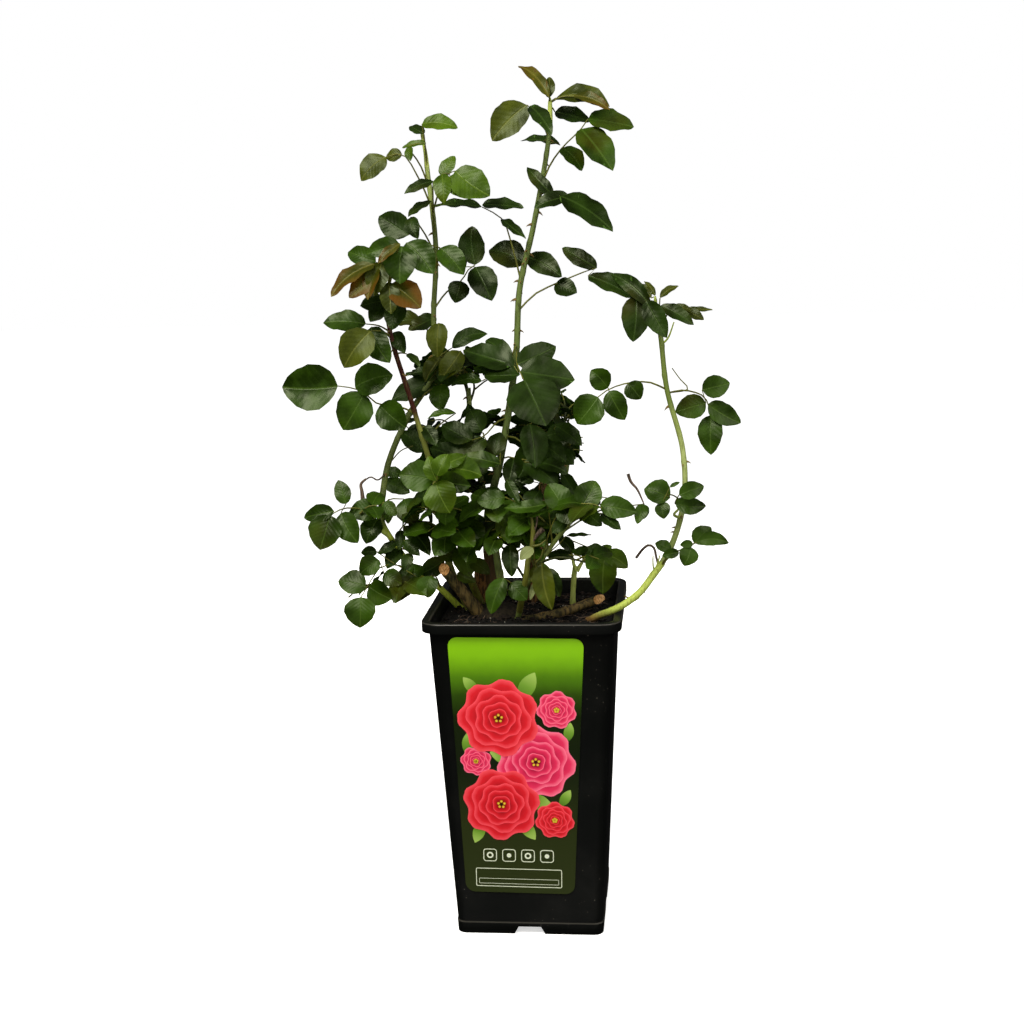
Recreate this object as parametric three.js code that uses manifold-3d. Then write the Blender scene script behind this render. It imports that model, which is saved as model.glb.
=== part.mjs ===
// A container-grown garden rose in its deep square pot: pot, label, compost, stubs, canes and sprays of leaves.
// Millimetres, +Z up. The origin is the middle of the pot's underside, and -Y is the side with the label.
import * as THREE from "three";
import { mergeVertices } from "three/addons/utils/BufferGeometryUtils.js";
import Module from "manifold-3d";

const wasm = await Module();
wasm.setup();

// Driving dimensions of the pot, its label and its filling.
const pot = {
  height: 312, rimWidth: 184.5, neckWidth: 172.4, footWidth: 139, rimCorner: 12, footCorner: 9,
  wall: 2, floor: 3, lipDrop: 9.5, lipWall: 2, mouthSlope: 1.9, footBand: 11,
  footStep: 0.6, drainRadius: 4.5, drainSpread: 30,
};
const notch = { footWidth: 30.5, roofWidth: 20.5, height: 8.3, reach: 30, wall: 2 };
const label = {
  topWidth: 125.5, footWidth: 103.5, height: 255, corner: 9, thickness: 0.5,
  centreX: -8, footZ: 43, tilt: 0.8,
};
const soilLevel = 297;
const gap = 0.4; // air between neighbouring solids
const groundZ = soilLevel + gap;
const overcut = 1; // how far a cutting shape passes the faces that it opens

// Canes: a route from the foot to the tip, the radius at each end and how far the foot flares.
const canes = {
  cane_tall: {
    foot: 5, tip: 2.2, flare: 2,
    route: [
      [-33, 14, 290], [-39, 12, 383], [-23, 8, 451], [-6, 4, 543],
      [0, 0, 609], [14, -2, 664], [29, -3, 735], [31, -4, 752],
    ],
  },
  cane_left_low: {
    foot: 3.2, tip: 2.7, flare: 1,
    route: [[-63, 24, 290], [-87, 0, 325], [-106, -15, 345], [-132, -30, 391], [-135, -30, 402]],
  },
  cane_left_high: {
    foot: 3.1, tip: 2.3, flare: 0,
    route: [
      [-135, -30, 405], [-128, -16, 448], [-109, -2, 492], [-86, 10, 531],
      [-84.5, 20, 588], [-80.5, 22, 648], [-86, 21, 724],
    ],
  },
  cane_bronze: {
    foot: 3.9, tip: 2, flare: 1,
    route: [
      [-55, 12, 290], [-75, 2, 345], [-82, -28, 432], [-96, -50, 506],
      [-111, -60, 568], [-116, -62, 606],
    ],
  },
  cane_right_low: {
    foot: 3.6, tip: 3.2, flare: 0.5,
    route: [
      [53, -10, 291], [62, -26, 299], [70, -38, 306], [82, -50, 313.6], [94.5, -53, 320.8],
      [108.5, -47, 330.5], [120, -37, 343.2], [129, -28, 353.5],
    ],
  },
  cane_right_high: {
    foot: 3.2, tip: 2.3, flare: 0,
    route: [
      [129.5, -28, 354.4], [140, -26, 375], [150, -26, 415], [149, -24, 460],
      [135, -20, 516], [130, -15, 562], [128, -13, 574],
    ],
  },
  cane_front: {
    foot: 3, tip: 2, flare: 0.5,
    route: [[-11, -18, 290], [5, -42, 340], [27, -46, 374], [49, -54, 402]],
  },
  cane_old: {
    foot: 6.5, tip: 4.4, flare: 2,
    route: [[-3, 44, 290], [5, 41, 342], [10, 39, 385], [15, 46, 424]],
  },
  cane_low_left: {
    foot: 4.2, tip: 3.2, flare: 1,
    route: [[-47, 34, 290], [-63, 22, 335], [-89, 10, 371], [-105, 2, 386]],
  },
  cane_back_left: {
    foot: 4.6, tip: 2.6, flare: 1,
    route: [[-31, 66, 290], [-44, 84, 370], [-62, 104, 450], [-66, 110, 505]],
  },
  cane_back_right: {
    foot: 4.6, tip: 2.6, flare: 1,
    route: [[1, 66, 290], [7, 82, 335], [21, 98, 385], [33, 106, 430], [27, 112, 470]],
  },
  shoot_right: { foot: 2.8, tip: 2.5, flare: 0.5, route: [[40, 30, 290], [42, 30, 320], [44, 29, 338]] },
  stub_front_left: { foot: 7.4, tip: 5, flare: 1.5, route: [[-39, -8, 290], [-55, -18, 316], [-76, -30, 349]] },
  stub_right: { foot: 4.8, tip: 4.1, flare: 1, route: [[-3, -22, 296], [29, -16, 302], [67, 12, 309]] },
  stub_back_left: { foot: 7.5, tip: 6.5, flare: 1.5, route: [[-51, 44, 290], [-50, 38, 318], [-48, 31, 338]] },
};
const sidesOfCane = 8;
const caneStep = 26; // the longest stretch between two rings of a cane

// The knobbly union that the canes rise from, cut flat at the compost.
const union = { centre: [-28, -6, 294], half: [26, 22, 17], phase: 1.3, detail: 2 };

// Sprays of leaves: centre and half sizes of each mass, outermost ones first, because a later one gives way.
const sprays = {
  spray_tall_tip: { centre: [39, -5, 760], half: [76, 56, 50] },
  spray_far_left: { centre: [-166, -68, 519], half: [86, 32, 36] },
  spray_right_outer: { centre: [173, -36, 494], half: [38, 34, 42] },
  spray_right_tip: { centre: [134, -14, 594], half: [45, 42, 37] },
  spray_low_left: { centre: [-163, -58, 410], half: [48, 36, 38] },
  spray_bottom_left: { centre: [-126, -50, 337], half: [55, 38, 42] },
  spray_left_tip: { centre: [-101, 20, 740], half: [52, 44, 33] },
  spray_right_lower: { centre: [160, -40, 374], half: [42, 30, 23] },
  spray_right_middle: { centre: [136, -46, 418], half: [35, 30, 23] },
  spray_right_inner: { centre: [93, -32, 512], half: [56, 28, 30] },
  spray_tall_shoulder: { centre: [48, -12, 688], half: [48, 42, 32] },
  spray_tall_left: { centre: [-33, 10, 677], half: [56, 40, 24] },
  spray_tall_right: { centre: [60, 6, 618], half: [66, 40, 30] },
  spray_tall_middle: { centre: [-18, -6, 627], half: [60, 44, 30] },
  spray_left_upper: { centre: [-70, 4, 707], half: [39, 42, 28] },
  spray_left_middle: { centre: [-92, 4, 653], half: [47, 44, 31] },
  spray_bronze_top: { centre: [-123, -66, 624], half: [48, 44, 36] },
  spray_bronze_low: { centre: [-130, -78, 571], half: [46, 38, 29] },
  spray_centre_top: { centre: [2, -48, 528], half: [60, 54, 45] },
  spray_centre_left: { centre: [-64, -4, 546], half: [45, 42, 46] },
  spray_front_left: { centre: [-68, -82, 446], half: [46, 58, 35] },
  spray_right_band: { centre: [66, -60, 415], half: [57, 36, 30] },
  spray_right_low: { centre: [62, -42, 362], half: [45, 36, 33] },
  spray_front_low: { centre: [8, -66, 344], half: [45, 30, 28] },
  spray_dark_left: { centre: [-58, 34, 474], half: [43, 44, 37] },
  spray_dark_right: { centre: [18, 52, 462], half: [52, 48, 46] },
  spray_middle_low: { centre: [-76, -44, 394], half: [41, 38, 35] },
  spray_centre_low: { centre: [-14, -26, 398], half: [54, 40, 41] },
  spray_back_left_top: { centre: [-66, 116, 506], half: [54, 50, 52] },
  spray_back_left_low: { centre: [-88, 104, 412], half: [56, 54, 46] },
  spray_back_right_top: { centre: [26, 122, 470], half: [52, 50, 50] },
  spray_back_right_low: { centre: [44, 110, 388], half: [58, 52, 42] },
};
const unevenness = { depth: 0.2, waves: [[2.1, 0.9, 2.6], [-1.4, 2.9, 1.2], [2.7, -2.2, 1.9]] };
const coarseBelow = 52; // sprays with no half size over this are made of fewer faces

// Colours and finishes of the real materials.
const finishes = {
  moulded_black_plastic: { color: 0x0c0d0c, roughness: 0.38, metalness: 0 },
  printed_card: { color: 0x3f6b1a, roughness: 0.4, metalness: 0 },
  dark_compost: { color: 0x1a1511, roughness: 0.95, metalness: 0 },
  green_bark: { color: 0x5f7d33, roughness: 0.5, metalness: 0 },
  old_bark: { color: 0x4d3d28, roughness: 0.85, metalness: 0 },
  rose_leaf: { color: 0x24501a, roughness: 0.45, metalness: 0 },
  bronze_leaf: { color: 0x6b4a1c, roughness: 0.45, metalness: 0 },
};

const plant = new THREE.Group();

// Adds one named sub-part to the plant.
function addPart(name, geometry, finish) {
  const mesh = new THREE.Mesh(geometry, new THREE.MeshStandardMaterial(finishes[finish]));
  mesh.name = name;
  plant.add(mesh);
}

// A closed three.js geometry as a manifold-3d solid.
function toSolid(geometry) {
  const bare = geometry.clone();
  bare.deleteAttribute("normal");
  bare.deleteAttribute("uv");
  const merged = mergeVertices(bare, 1e-3);
  return new wasm.Manifold(new wasm.Mesh({
    numProp: 3,
    vertProperties: new Float32Array(merged.attributes.position.array),
    triVerts: new Uint32Array(merged.index.array),
  }));
}

// A manifold-3d solid as a three.js geometry.
function toGeometry(solid) {
  const mesh = solid.getMesh();
  const geometry = new THREE.BufferGeometry();
  geometry.setAttribute("position", new THREE.BufferAttribute(new Float32Array(mesh.vertProperties), 3));
  geometry.setIndex(new THREE.BufferAttribute(new Uint32Array(mesh.triVerts), 1));
  geometry.computeVertexNormals();
  return geometry;
}

// The biggest of the pieces that a cut leaves.
function biggestPiece(solid) {
  return solid.decompose().reduce((best, piece) => (piece.volume() > best.volume() ? piece : best));
}

// A skin over a stack of rings with the same number of points, capped at both ends.
function skinOver(rings) {
  const count = rings[0].length;
  const points = rings.flat();
  const faces = [];
  for (let ring = 0; ring < rings.length - 1; ring += 1) {
    for (let i = 0; i < count; i += 1) {
      const a = ring * count + i;
      const b = ring * count + ((i + 1) % count);
      faces.push(a, b, b + count, a, b + count, a + count);
    }
  }
  const capWith = (ring, start, turned) => {
    const middle = new THREE.Vector3();
    ring.forEach((p) => middle.addScaledVector(p, 1 / count));
    points.push(middle);
    for (let i = 0; i < count; i += 1) {
      const a = start + i;
      const b = start + ((i + 1) % count);
      faces.push(points.length - 1, turned ? b : a, turned ? a : b);
    }
  };
  capWith(rings[0], 0, true);
  capWith(rings[rings.length - 1], (rings.length - 1) * count, false);
  const geometry = new THREE.BufferGeometry().setFromPoints(points);
  geometry.setIndex(faces);
  geometry.computeVertexNormals();
  return geometry;
}

// A level square ring with rounded corners, anticlockwise from above.
function squareRing(width, corner, z, pointsPerCorner = 5) {
  const ring = [];
  const reach = width / 2 - corner;
  for (let side = 0; side < 4; side += 1) {
    const start = (side * Math.PI) / 2;
    const centreX = reach * Math.sign(Math.cos(start + Math.PI / 4));
    const centreY = reach * Math.sign(Math.sin(start + Math.PI / 4));
    for (let i = 0; i < pointsPerCorner; i += 1) {
      const angle = start + (i / (pointsPerCorner - 1)) * (Math.PI / 2);
      ring.push(new THREE.Vector3(centreX + corner * Math.cos(angle), centreY + corner * Math.sin(angle), z));
    }
  }
  return ring;
}

// Outer width of the pot's body at a height, and its corner radius there.
function bodyWidth(z) {
  return pot.footWidth + ((pot.neckWidth - pot.footWidth) * z) / pot.height;
}
function bodyCorner(z) {
  return pot.footCorner + ((pot.rimCorner - pot.footCorner) * z) / pot.height;
}

// The inside of the pot from a height up to another, drawn in by a clearance.
function insideOfPot(fromZ, toZ, clearance) {
  const ringAt = (z) => squareRing(bodyWidth(z) - 2 * (pot.wall + clearance), bodyCorner(z) - pot.wall, z);
  return toSolid(skinOver([ringAt(fromZ), ringAt(toZ)]));
}

// A drainage channel from the middle of each side inwards, grown by a wall.
function drainChannels(grown) {
  const half = notch.footWidth / 2 + grown;
  const roofHalf = notch.roofWidth / 2 + grown;
  const outline = new THREE.Shape([
    new THREE.Vector2(-half, -overcut), new THREE.Vector2(half, -overcut),
    new THREE.Vector2(roofHalf, notch.height + grown), new THREE.Vector2(-roofHalf, notch.height + grown),
  ]);
  const depth = notch.reach + grown + overcut;
  const channel = new THREE.ExtrudeGeometry(outline, { depth, bevelEnabled: false, steps: 1 });
  channel.rotateX(Math.PI / 2);
  channel.translate(0, -pot.footWidth / 2 - overcut + depth, 0);
  const turns = [0, 0.5, 1, 1.5].map((turn) => toSolid(channel.clone().rotateZ(turn * Math.PI)));
  return turns.reduce((all, each) => all.add(each));
}

// The pot: a tapered square body with a foot band, a lip turned down round the rim, raised drainage channels
// and drain holes.
function makePot() {
  const { height, wall, lipDrop, lipWall, mouthSlope, rimWidth, rimCorner } = pot;
  const neckZ = height - lipWall;
  const neck = bodyWidth(neckZ);
  const outer = (width, z) => squareRing(width, bodyCorner(z), z);
  const lip = (width, z) => squareRing(width, rimCorner + (width - neck) / 2, z);
  const shell = toSolid(skinOver([
    outer(pot.footWidth + 2 * pot.footStep, 0),
    outer(bodyWidth(pot.footBand) + 2 * pot.footStep, pot.footBand),
    outer(bodyWidth(pot.footBand + 1), pot.footBand + 1),
    outer(neck, neckZ),
    lip(rimWidth - 2 * lipWall, neckZ),
    lip(rimWidth - 2 * lipWall, height - lipDrop),
    lip(rimWidth, height - lipDrop),
    lip(rimWidth, height - lipWall / 2),
    lip(rimWidth - lipWall, height),
    squareRing(neck - 2 * wall + 2 * mouthSlope, rimCorner - wall + mouthSlope, height),
    squareRing(neck - 2 * wall, rimCorner - wall, neckZ),
    squareRing(bodyWidth(pot.floor) - 2 * wall, pot.footCorner - wall, pot.floor),
  ]));
  const raised = drainChannels(notch.wall).intersect(insideOfPot(pot.floor / 2, 2 * notch.height, -wall / 2));
  const withChannels = shell.add(raised);
  const hole = new THREE.CylinderGeometry(pot.drainRadius, pot.drainRadius, 4 * pot.floor, 12);
  hole.rotateX(Math.PI / 2);
  let made = withChannels.subtract(drainChannels(0));
  for (const x of [-1, 1]) {
    for (const y of [-1, 1]) {
      made = made.subtract(toSolid(hole.clone().translate(x * pot.drainSpread, y * pot.drainSpread, 0)));
    }
  }
  return made;
}

// The compost that fills the pot, from over the floor to the soil level.
function makeSoil() {
  return insideOfPot(pot.floor + gap, soilLevel, gap).subtract(drainChannels(notch.wall + gap));
}

// The label: a thin tapered card with rounded corners, lying on the front wall and tilted a little.
function makeLabel() {
  const { topWidth, footWidth, height, corner, thickness } = label;
  const outline = new THREE.Shape();
  const corners = [[-footWidth / 2, 0], [footWidth / 2, 0], [topWidth / 2, height], [-topWidth / 2, height]]
    .map(([x, y]) => new THREE.Vector2(x, y));
  corners.forEach((point, i) => {
    const before = corners[(i + 3) % 4].clone().sub(point).setLength(corner).add(point);
    const after = corners[(i + 1) % 4].clone().sub(point).setLength(corner).add(point);
    if (i === 0) outline.moveTo(before.x, before.y);
    else outline.lineTo(before.x, before.y);
    outline.quadraticCurveTo(point.x, point.y, after.x, after.y);
  });
  const card = new THREE.ExtrudeGeometry(outline, { depth: thickness, bevelEnabled: false, curveSegments: 4 });
  card.rotateZ(THREE.MathUtils.degToRad(-label.tilt));
  const lean = Math.atan2((pot.neckWidth - pot.footWidth) / 2, pot.height);
  card.rotateX(Math.PI / 2 + lean);
  card.translate(label.centreX, -bodyWidth(label.footZ) / 2 - gap, label.footZ);
  return card;
}

// A tapering limb along its route, with a flat cut at each end.
function limb({ route, foot, tip, flare }, grown = 0) {
  const curve = new THREE.CatmullRomCurve3(route.map((p) => new THREE.Vector3(...p)), false, "centripetal");
  const steps = Math.max(4, Math.ceil(curve.getLength() / caneStep));
  const frames = curve.computeFrenetFrames(steps, false);
  const rings = [];
  for (let i = 0; i <= steps; i += 1) {
    const t = i / steps;
    const middle = curve.getPointAt(t);
    const radius = foot + (tip - foot) * t + flare * Math.exp(-t * 12) + grown;
    const ring = [];
    for (let side = 0; side < sidesOfCane; side += 1) {
      const angle = (side / sidesOfCane) * 2 * Math.PI;
      ring.push(middle.clone()
        .addScaledVector(frames.normals[i], radius * Math.cos(angle))
        .addScaledVector(frames.binormals[i], radius * Math.sin(angle)));
    }
    rings.push(ring);
  }
  return toSolid(skinOver(rings));
}

// An uneven closed lump: a ball of faces drawn in by slow waves, then stretched to its half sizes.
function lump({ centre, half, phase, detail }, grown = 0) {
  const ball = mergeVertices(bareBall(detail), 1e-4);
  const position = ball.getAttribute("position");
  const point = new THREE.Vector3();
  for (let i = 0; i < position.count; i += 1) {
    point.fromBufferAttribute(position, i).normalize();
    let swell = 1;
    unevenness.waves.forEach((wave, w) => {
      const along = point.x * wave[0] + point.y * wave[1] + point.z * wave[2];
      swell -= (unevenness.depth / unevenness.waves.length) * (1 - Math.sin(along + phase * (w + 1)));
    });
    position.setXYZ(i,
      centre[0] + point.x * (half[0] * swell + grown),
      centre[1] + point.y * (half[1] * swell + grown),
      centre[2] + point.z * (half[2] * swell + grown));
  }
  return toSolid(ball);
}

function bareBall(detail) {
  const ball = new THREE.IcosahedronGeometry(1, detail);
  ball.deleteAttribute("normal");
  ball.deleteAttribute("uv");
  return ball;
}

// A block below ground level that trims the limbs flat.
function belowGround() {
  const block = new THREE.BoxGeometry(pot.rimWidth, pot.rimWidth, pot.height);
  block.translate(0, 0, groundZ - pot.height / 2);
  return toSolid(block);
}

const potSolid = makePot();
const soilSolid = makeSoil();
const ground = belowGround();
addPart("pot", toGeometry(potSolid), "moulded_black_plastic");
addPart("label", makeLabel(), "printed_card");
addPart("soil", toGeometry(soilSolid), "dark_compost");

// Limbs keep clear of the ones before them.
const oldWood = ["cane_old", "cane_low_left", "stub_front_left", "stub_right", "stub_back_left"];
let taken = ground.add(potSolid);
for (const [name, cane] of Object.entries(canes)) {
  const solid = biggestPiece(limb(cane).subtract(taken));
  addPart(name, toGeometry(solid), oldWood.includes(name) ? "old_bark" : "green_bark");
  taken = taken.add(limb(cane, gap));
}
addPart("root_crown", toGeometry(biggestPiece(lump(union).subtract(taken))), "old_bark");
taken = taken.add(lump(union, gap));

// Each spray is cut round the canes and the sprays before it.
Object.entries(sprays).forEach(([name, spray], index) => {
  const shape = { ...spray, phase: 1.7 * index, detail: Math.max(...spray.half) < coarseBelow ? 1 : 2 };
  const solid = biggestPiece(lump(shape).subtract(taken));
  addPart(name, toGeometry(solid), name.startsWith("spray_bronze") ? "bronze_leaf" : "rose_leaf");
  taken = taken.add(lump(shape, gap));
});

export default plant;
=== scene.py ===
import math

import bpy
import numpy as np
from mathutils import Matrix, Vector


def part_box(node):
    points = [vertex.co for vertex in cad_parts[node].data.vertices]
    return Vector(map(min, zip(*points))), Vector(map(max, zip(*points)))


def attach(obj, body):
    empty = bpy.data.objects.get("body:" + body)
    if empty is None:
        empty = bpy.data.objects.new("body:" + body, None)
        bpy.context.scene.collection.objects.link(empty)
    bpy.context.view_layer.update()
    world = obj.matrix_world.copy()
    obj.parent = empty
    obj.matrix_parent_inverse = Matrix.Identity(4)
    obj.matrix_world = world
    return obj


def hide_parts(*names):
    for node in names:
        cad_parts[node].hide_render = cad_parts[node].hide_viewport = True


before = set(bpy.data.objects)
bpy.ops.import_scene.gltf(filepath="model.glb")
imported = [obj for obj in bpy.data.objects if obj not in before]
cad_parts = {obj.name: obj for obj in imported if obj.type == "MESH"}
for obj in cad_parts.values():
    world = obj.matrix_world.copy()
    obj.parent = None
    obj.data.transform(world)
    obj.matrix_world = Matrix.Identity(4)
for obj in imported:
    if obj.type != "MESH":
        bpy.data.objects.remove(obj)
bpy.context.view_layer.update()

# A container-grown garden rose. Lengths are in millimetres and turn into metres when a mesh is made.
mm = 0.001
dice = np.random.default_rng(27)


def hexColour(code):
    # sRGB hex value to the linear colour that the shaders take
    channels = np.array([int(code[i:i + 2], 16) for i in (1, 3, 5)]) / 255
    linear = np.where(channels <= 0.04045, channels / 12.92, ((channels + 0.055) / 1.055) ** 2.4)
    return (*linear.tolist(), 1.0)


def unit(vectors):
    vectors = np.asarray(vectors, float)
    return vectors / np.maximum(np.linalg.norm(vectors, axis=-1, keepdims=True), 1e-9)


def setInputs(node, inputs):
    # each input takes a fixed value, a socket, or a node, which stands for its main output
    for name, value in inputs.items():
        if isinstance(value, bpy.types.Node):
            value = next(socket for socket in value.outputs if socket.enabled)
        if isinstance(value, bpy.types.NodeSocket):
            node.id_data.links.new(value, node.inputs[name])
        else:
            node.inputs[name].default_value = value


def addNode(tree, kind, settings=None, inputs=None):
    # one node with its own settings and its inputs; the stops of a ramp are pairs of place and colour
    node = tree.nodes.new("ShaderNode" + kind)
    for name, value in (settings or {}).items():
        if name == "stops":
            ramp = node.color_ramp
            while len(ramp.elements) < len(value):
                ramp.elements.new(0.5)
            for element, (place, colour) in zip(ramp.elements, value):
                element.position = place
                element.color = hexColour(colour)
        else:
            setattr(node, name, value)
    setInputs(node, inputs or {})
    return node


smooth = {"interpolation_type": "SMOOTHSTEP"}
byColour = {"data_type": "RGBA"}
times, timesPlus, minus, absolute, larger, equals, zigzags = ({"operation": name} for name in (
    "MULTIPLY", "MULTIPLY_ADD", "SUBTRACT", "ABSOLUTE", "MAXIMUM", "COMPARE", "PINGPONG"))


def newMaterial(name):
    # a node tree with only a Principled shader joined to its output, and the coordinates for patterns
    material = bpy.data.materials.new(name)
    material.use_nodes = True
    tree = material.node_tree
    tree.nodes.clear()
    shader = addNode(tree, "BsdfPrincipled")
    addNode(tree, "OutputMaterial", inputs={"Surface": shader})
    return material, tree, shader, addNode(tree, "TexCoord").outputs


def makeMesh(name, vertices, faces, uvs=None, materialOf=None, sharp=50):
    # faces is a list of whole arrays, of triangles or of quads; materialOf holds one number for each of them
    mesh = bpy.data.meshes.new(name)
    faces = [np.asarray(f, np.int32) for f in faces]
    corners = np.concatenate([f.ravel() for f in faces])
    sizes = np.concatenate([np.full(len(f), f.shape[1], np.int32) for f in faces])
    mesh.vertices.add(len(vertices))
    mesh.vertices.foreach_set("co", (np.asarray(vertices) * mm).astype(np.float32).ravel())
    mesh.loops.add(len(corners))
    mesh.loops.foreach_set("vertex_index", corners)
    mesh.polygons.add(len(sizes))
    mesh.polygons.foreach_set("loop_start", np.concatenate([[0], np.cumsum(sizes)[:-1]]).astype(np.int32))
    mesh.polygons.foreach_set("loop_total", sizes)
    if materialOf is not None:
        numbers = np.concatenate([np.full(len(f), m, np.int32) for f, m in zip(faces, materialOf)])
        mesh.polygons.foreach_set("material_index", numbers)
    mesh.update(calc_edges=True)
    if uvs is not None:
        layer = mesh.uv_layers.new(name="surface")
        layer.data.foreach_set("uv", np.asarray(uvs, np.float32)[corners].ravel())
    mesh.polygons.foreach_set("use_smooth", np.ones(len(sizes), bool))
    mesh.set_sharp_from_angle(angle=math.radians(sharp))
    mesh.validate()
    return mesh


def makePiece(name, mesh, materials, replaced=()):
    # an object at the origin that rides on the plant and takes the place of its CAD nodes
    piece = bpy.data.objects.new(name, mesh)
    bpy.context.scene.collection.objects.link(piece)
    for material in materials:
        mesh.materials.append(material)
    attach(piece, "root")
    if replaced:
        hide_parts(*replaced)
    return piece


def solidGrids(grids, offset):
    # closed plates: a grid (plates, rows, columns, xyz) is the outer face and, moved by offset, the inner
    plates, rows, columns = grids.shape[:3]
    count = rows * columns
    outside = grids.reshape(plates, count, 3)
    vertices = np.concatenate([outside, outside + offset], axis=1)
    index = np.arange(count).reshape(rows, columns)
    outer = np.stack([index[:-1, :-1], index[:-1, 1:], index[1:, 1:], index[1:, :-1]], -1).reshape(-1, 4)
    loop = np.concatenate([index[0, :-1], index[:-1, -1], index[-1, :0:-1], index[:0:-1, 0]])
    after = np.roll(loop, -1)
    rim = np.stack([loop, loop + count, after + count, after], -1)
    quads = np.concatenate([outer, outer[:, ::-1] + count, rim])
    quads = quads[None] + (np.arange(plates) * 2 * count)[:, None, None]
    return vertices.reshape(-1, 3), quads.reshape(-1, 4)


def spline(points, step):
    # centripetal Catmull-Rom curve through the points, then laid out again in equal steps
    points = np.asarray(points, float)
    ends = np.concatenate([[2 * points[0] - points[1]], points, [2 * points[-1] - points[-2]]])
    a, b, c, d = ends[:-3], ends[1:-2], ends[2:-1], ends[3:]
    gap = [np.sqrt(np.linalg.norm(q - p, axis=1))[:, None] for p, q in ((a, b), (b, c), (c, d))]
    leave = ((b - a) / gap[0] - (c - a) / (gap[0] + gap[1]) + (c - b) / gap[1]) * gap[1]
    arrive = ((c - b) / gap[1] - (d - b) / (gap[1] + gap[2]) + (d - c) / gap[2]) * gap[1]
    t = np.linspace(0, 1, 30, endpoint=False)[None, :, None]
    b, c, leave, arrive = b[:, None], c[:, None], leave[:, None], arrive[:, None]
    squared, cubed = 3 * (c - b) - 2 * leave - arrive, 2 * (b - c) + leave + arrive
    cubic = b + leave * t + squared * t ** 2 + cubed * t ** 3
    line = np.concatenate([cubic.reshape(-1, 3), points[-1:]])
    travelled = np.concatenate([[0], np.cumsum(np.linalg.norm(np.diff(line, axis=0), axis=1))])
    places = np.linspace(0, travelled[-1], max(3, int(travelled[-1] / step) + 1))
    return np.stack([np.interp(places, travelled, line[:, k]) for k in range(3)], 1)


def tubes(paths, radii, sides=6):
    # closed tubes along paths (tubes, rings, xyz), with radii (tubes, rings) or (tubes, rings, sides)
    paths = np.asarray(paths, float)
    count, rings = paths.shape[:2]
    radii = np.asarray(radii, float)
    if radii.ndim == 2:
        radii = radii[..., None]
    along = unit(np.gradient(paths, axis=1))
    mean = unit(along.mean(axis=1))
    reference = np.where(np.abs(mean[:, 1:2]) < 0.8, [[0.0, 1.0, 0.0]], [[1.0, 0.0, 0.0]])[:, None]
    across = unit(np.cross(along, reference))
    other = np.cross(along, across)
    turn = np.arange(sides) / sides * 2 * np.pi
    spoke = across[:, :, None] * np.cos(turn)[:, None] + other[:, :, None] * np.sin(turn)[:, None]
    skin = paths[:, :, None] + spoke * np.broadcast_to(radii, (count, rings, sides))[..., None]
    each = rings * sides + 2
    vertices = np.concatenate([skin.reshape(count, -1, 3), paths[:, :1], paths[:, -1:]], axis=1)
    ring = np.arange(rings * sides).reshape(rings, sides)
    beside = np.roll(ring, -1, axis=1)
    walls = np.stack([ring[:-1], beside[:-1], beside[1:], ring[1:]], -1).reshape(-1, 4)
    foot = np.stack([beside[0], ring[0], np.full(sides, each - 2)], -1)
    top = np.stack([ring[-1], beside[-1], np.full(sides, each - 1)], -1)
    start = (np.arange(count) * each)[:, None, None]
    return vertices.reshape(-1, 3), [(f[None] + start).reshape(-1, f.shape[1]) for f in (walls, foot, top)]


def ripples(places, waves, seed):
    # uneven relief, the mean of a few sine waves of each length in mm that run in random directions
    draw = np.random.default_rng(seed)
    total = np.zeros(np.shape(places)[:-1])
    for length in waves:
        heading = unit(draw.normal(size=(3, 3))) * 2 * np.pi / length
        total += np.sin(places @ heading.T + draw.uniform(0, 6.28, 3)).sum(axis=-1) / 3
    return total / len(waves)


# The main view. Some pieces are placed by where they show in it, in places of 1024 across and 1024 down.
view = {
    "target": (-13.2, 0.0, 398.0), "azimuth": 6.09, "elevation": 10.99, "distance": 1515.6, "roll": -1.65,
    "lens": 55.87, "sensor": 36.0, "pixels": 1024,
}
turnAngle, riseAngle, rollAngle = (math.radians(view[k]) for k in ("azimuth", "elevation", "roll"))
towards = np.array([math.sin(turnAngle) * math.cos(riseAngle), -math.cos(turnAngle) * math.cos(riseAngle),
                    math.sin(riseAngle)])
levelRight = np.array([math.cos(turnAngle), math.sin(turnAngle), 0.0])
levelUp = np.cross(towards, levelRight)
viewRight = math.cos(rollAngle) * levelRight + math.sin(rollAngle) * levelUp
viewUp = math.cos(rollAngle) * levelUp - math.sin(rollAngle) * levelRight
eye = np.array(view["target"]) + towards * view["distance"]


def viewRay(across, down):
    # direction from the eye through a place in the main view
    step = view["sensor"] / view["pixels"] / view["lens"]
    half = view["pixels"] / 2
    return viewRight * (across - half) * step - viewUp * (down - half) * step - towards


def placeSeen(across, down, depth):
    # the point of the upright plane y = depth that shows at a place in the main view
    ray = viewRay(across, down)
    return eye + ray * (depth - eye[1]) / ray[1]


def makeCamera():
    lens = bpy.data.cameras.new("main_view")
    lens.lens = view["lens"]
    lens.sensor_width = view["sensor"]
    camera = bpy.data.objects.new("main_view", lens)
    matrix = np.eye(4)
    matrix[:3, 0] = viewRight
    matrix[:3, 1] = viewUp
    matrix[:3, 2] = towards
    matrix[:3, 3] = eye * mm
    camera.matrix_world = Matrix(matrix.tolist())
    bpy.context.scene.collection.objects.link(camera)
    bpy.context.scene.camera = camera


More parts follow.
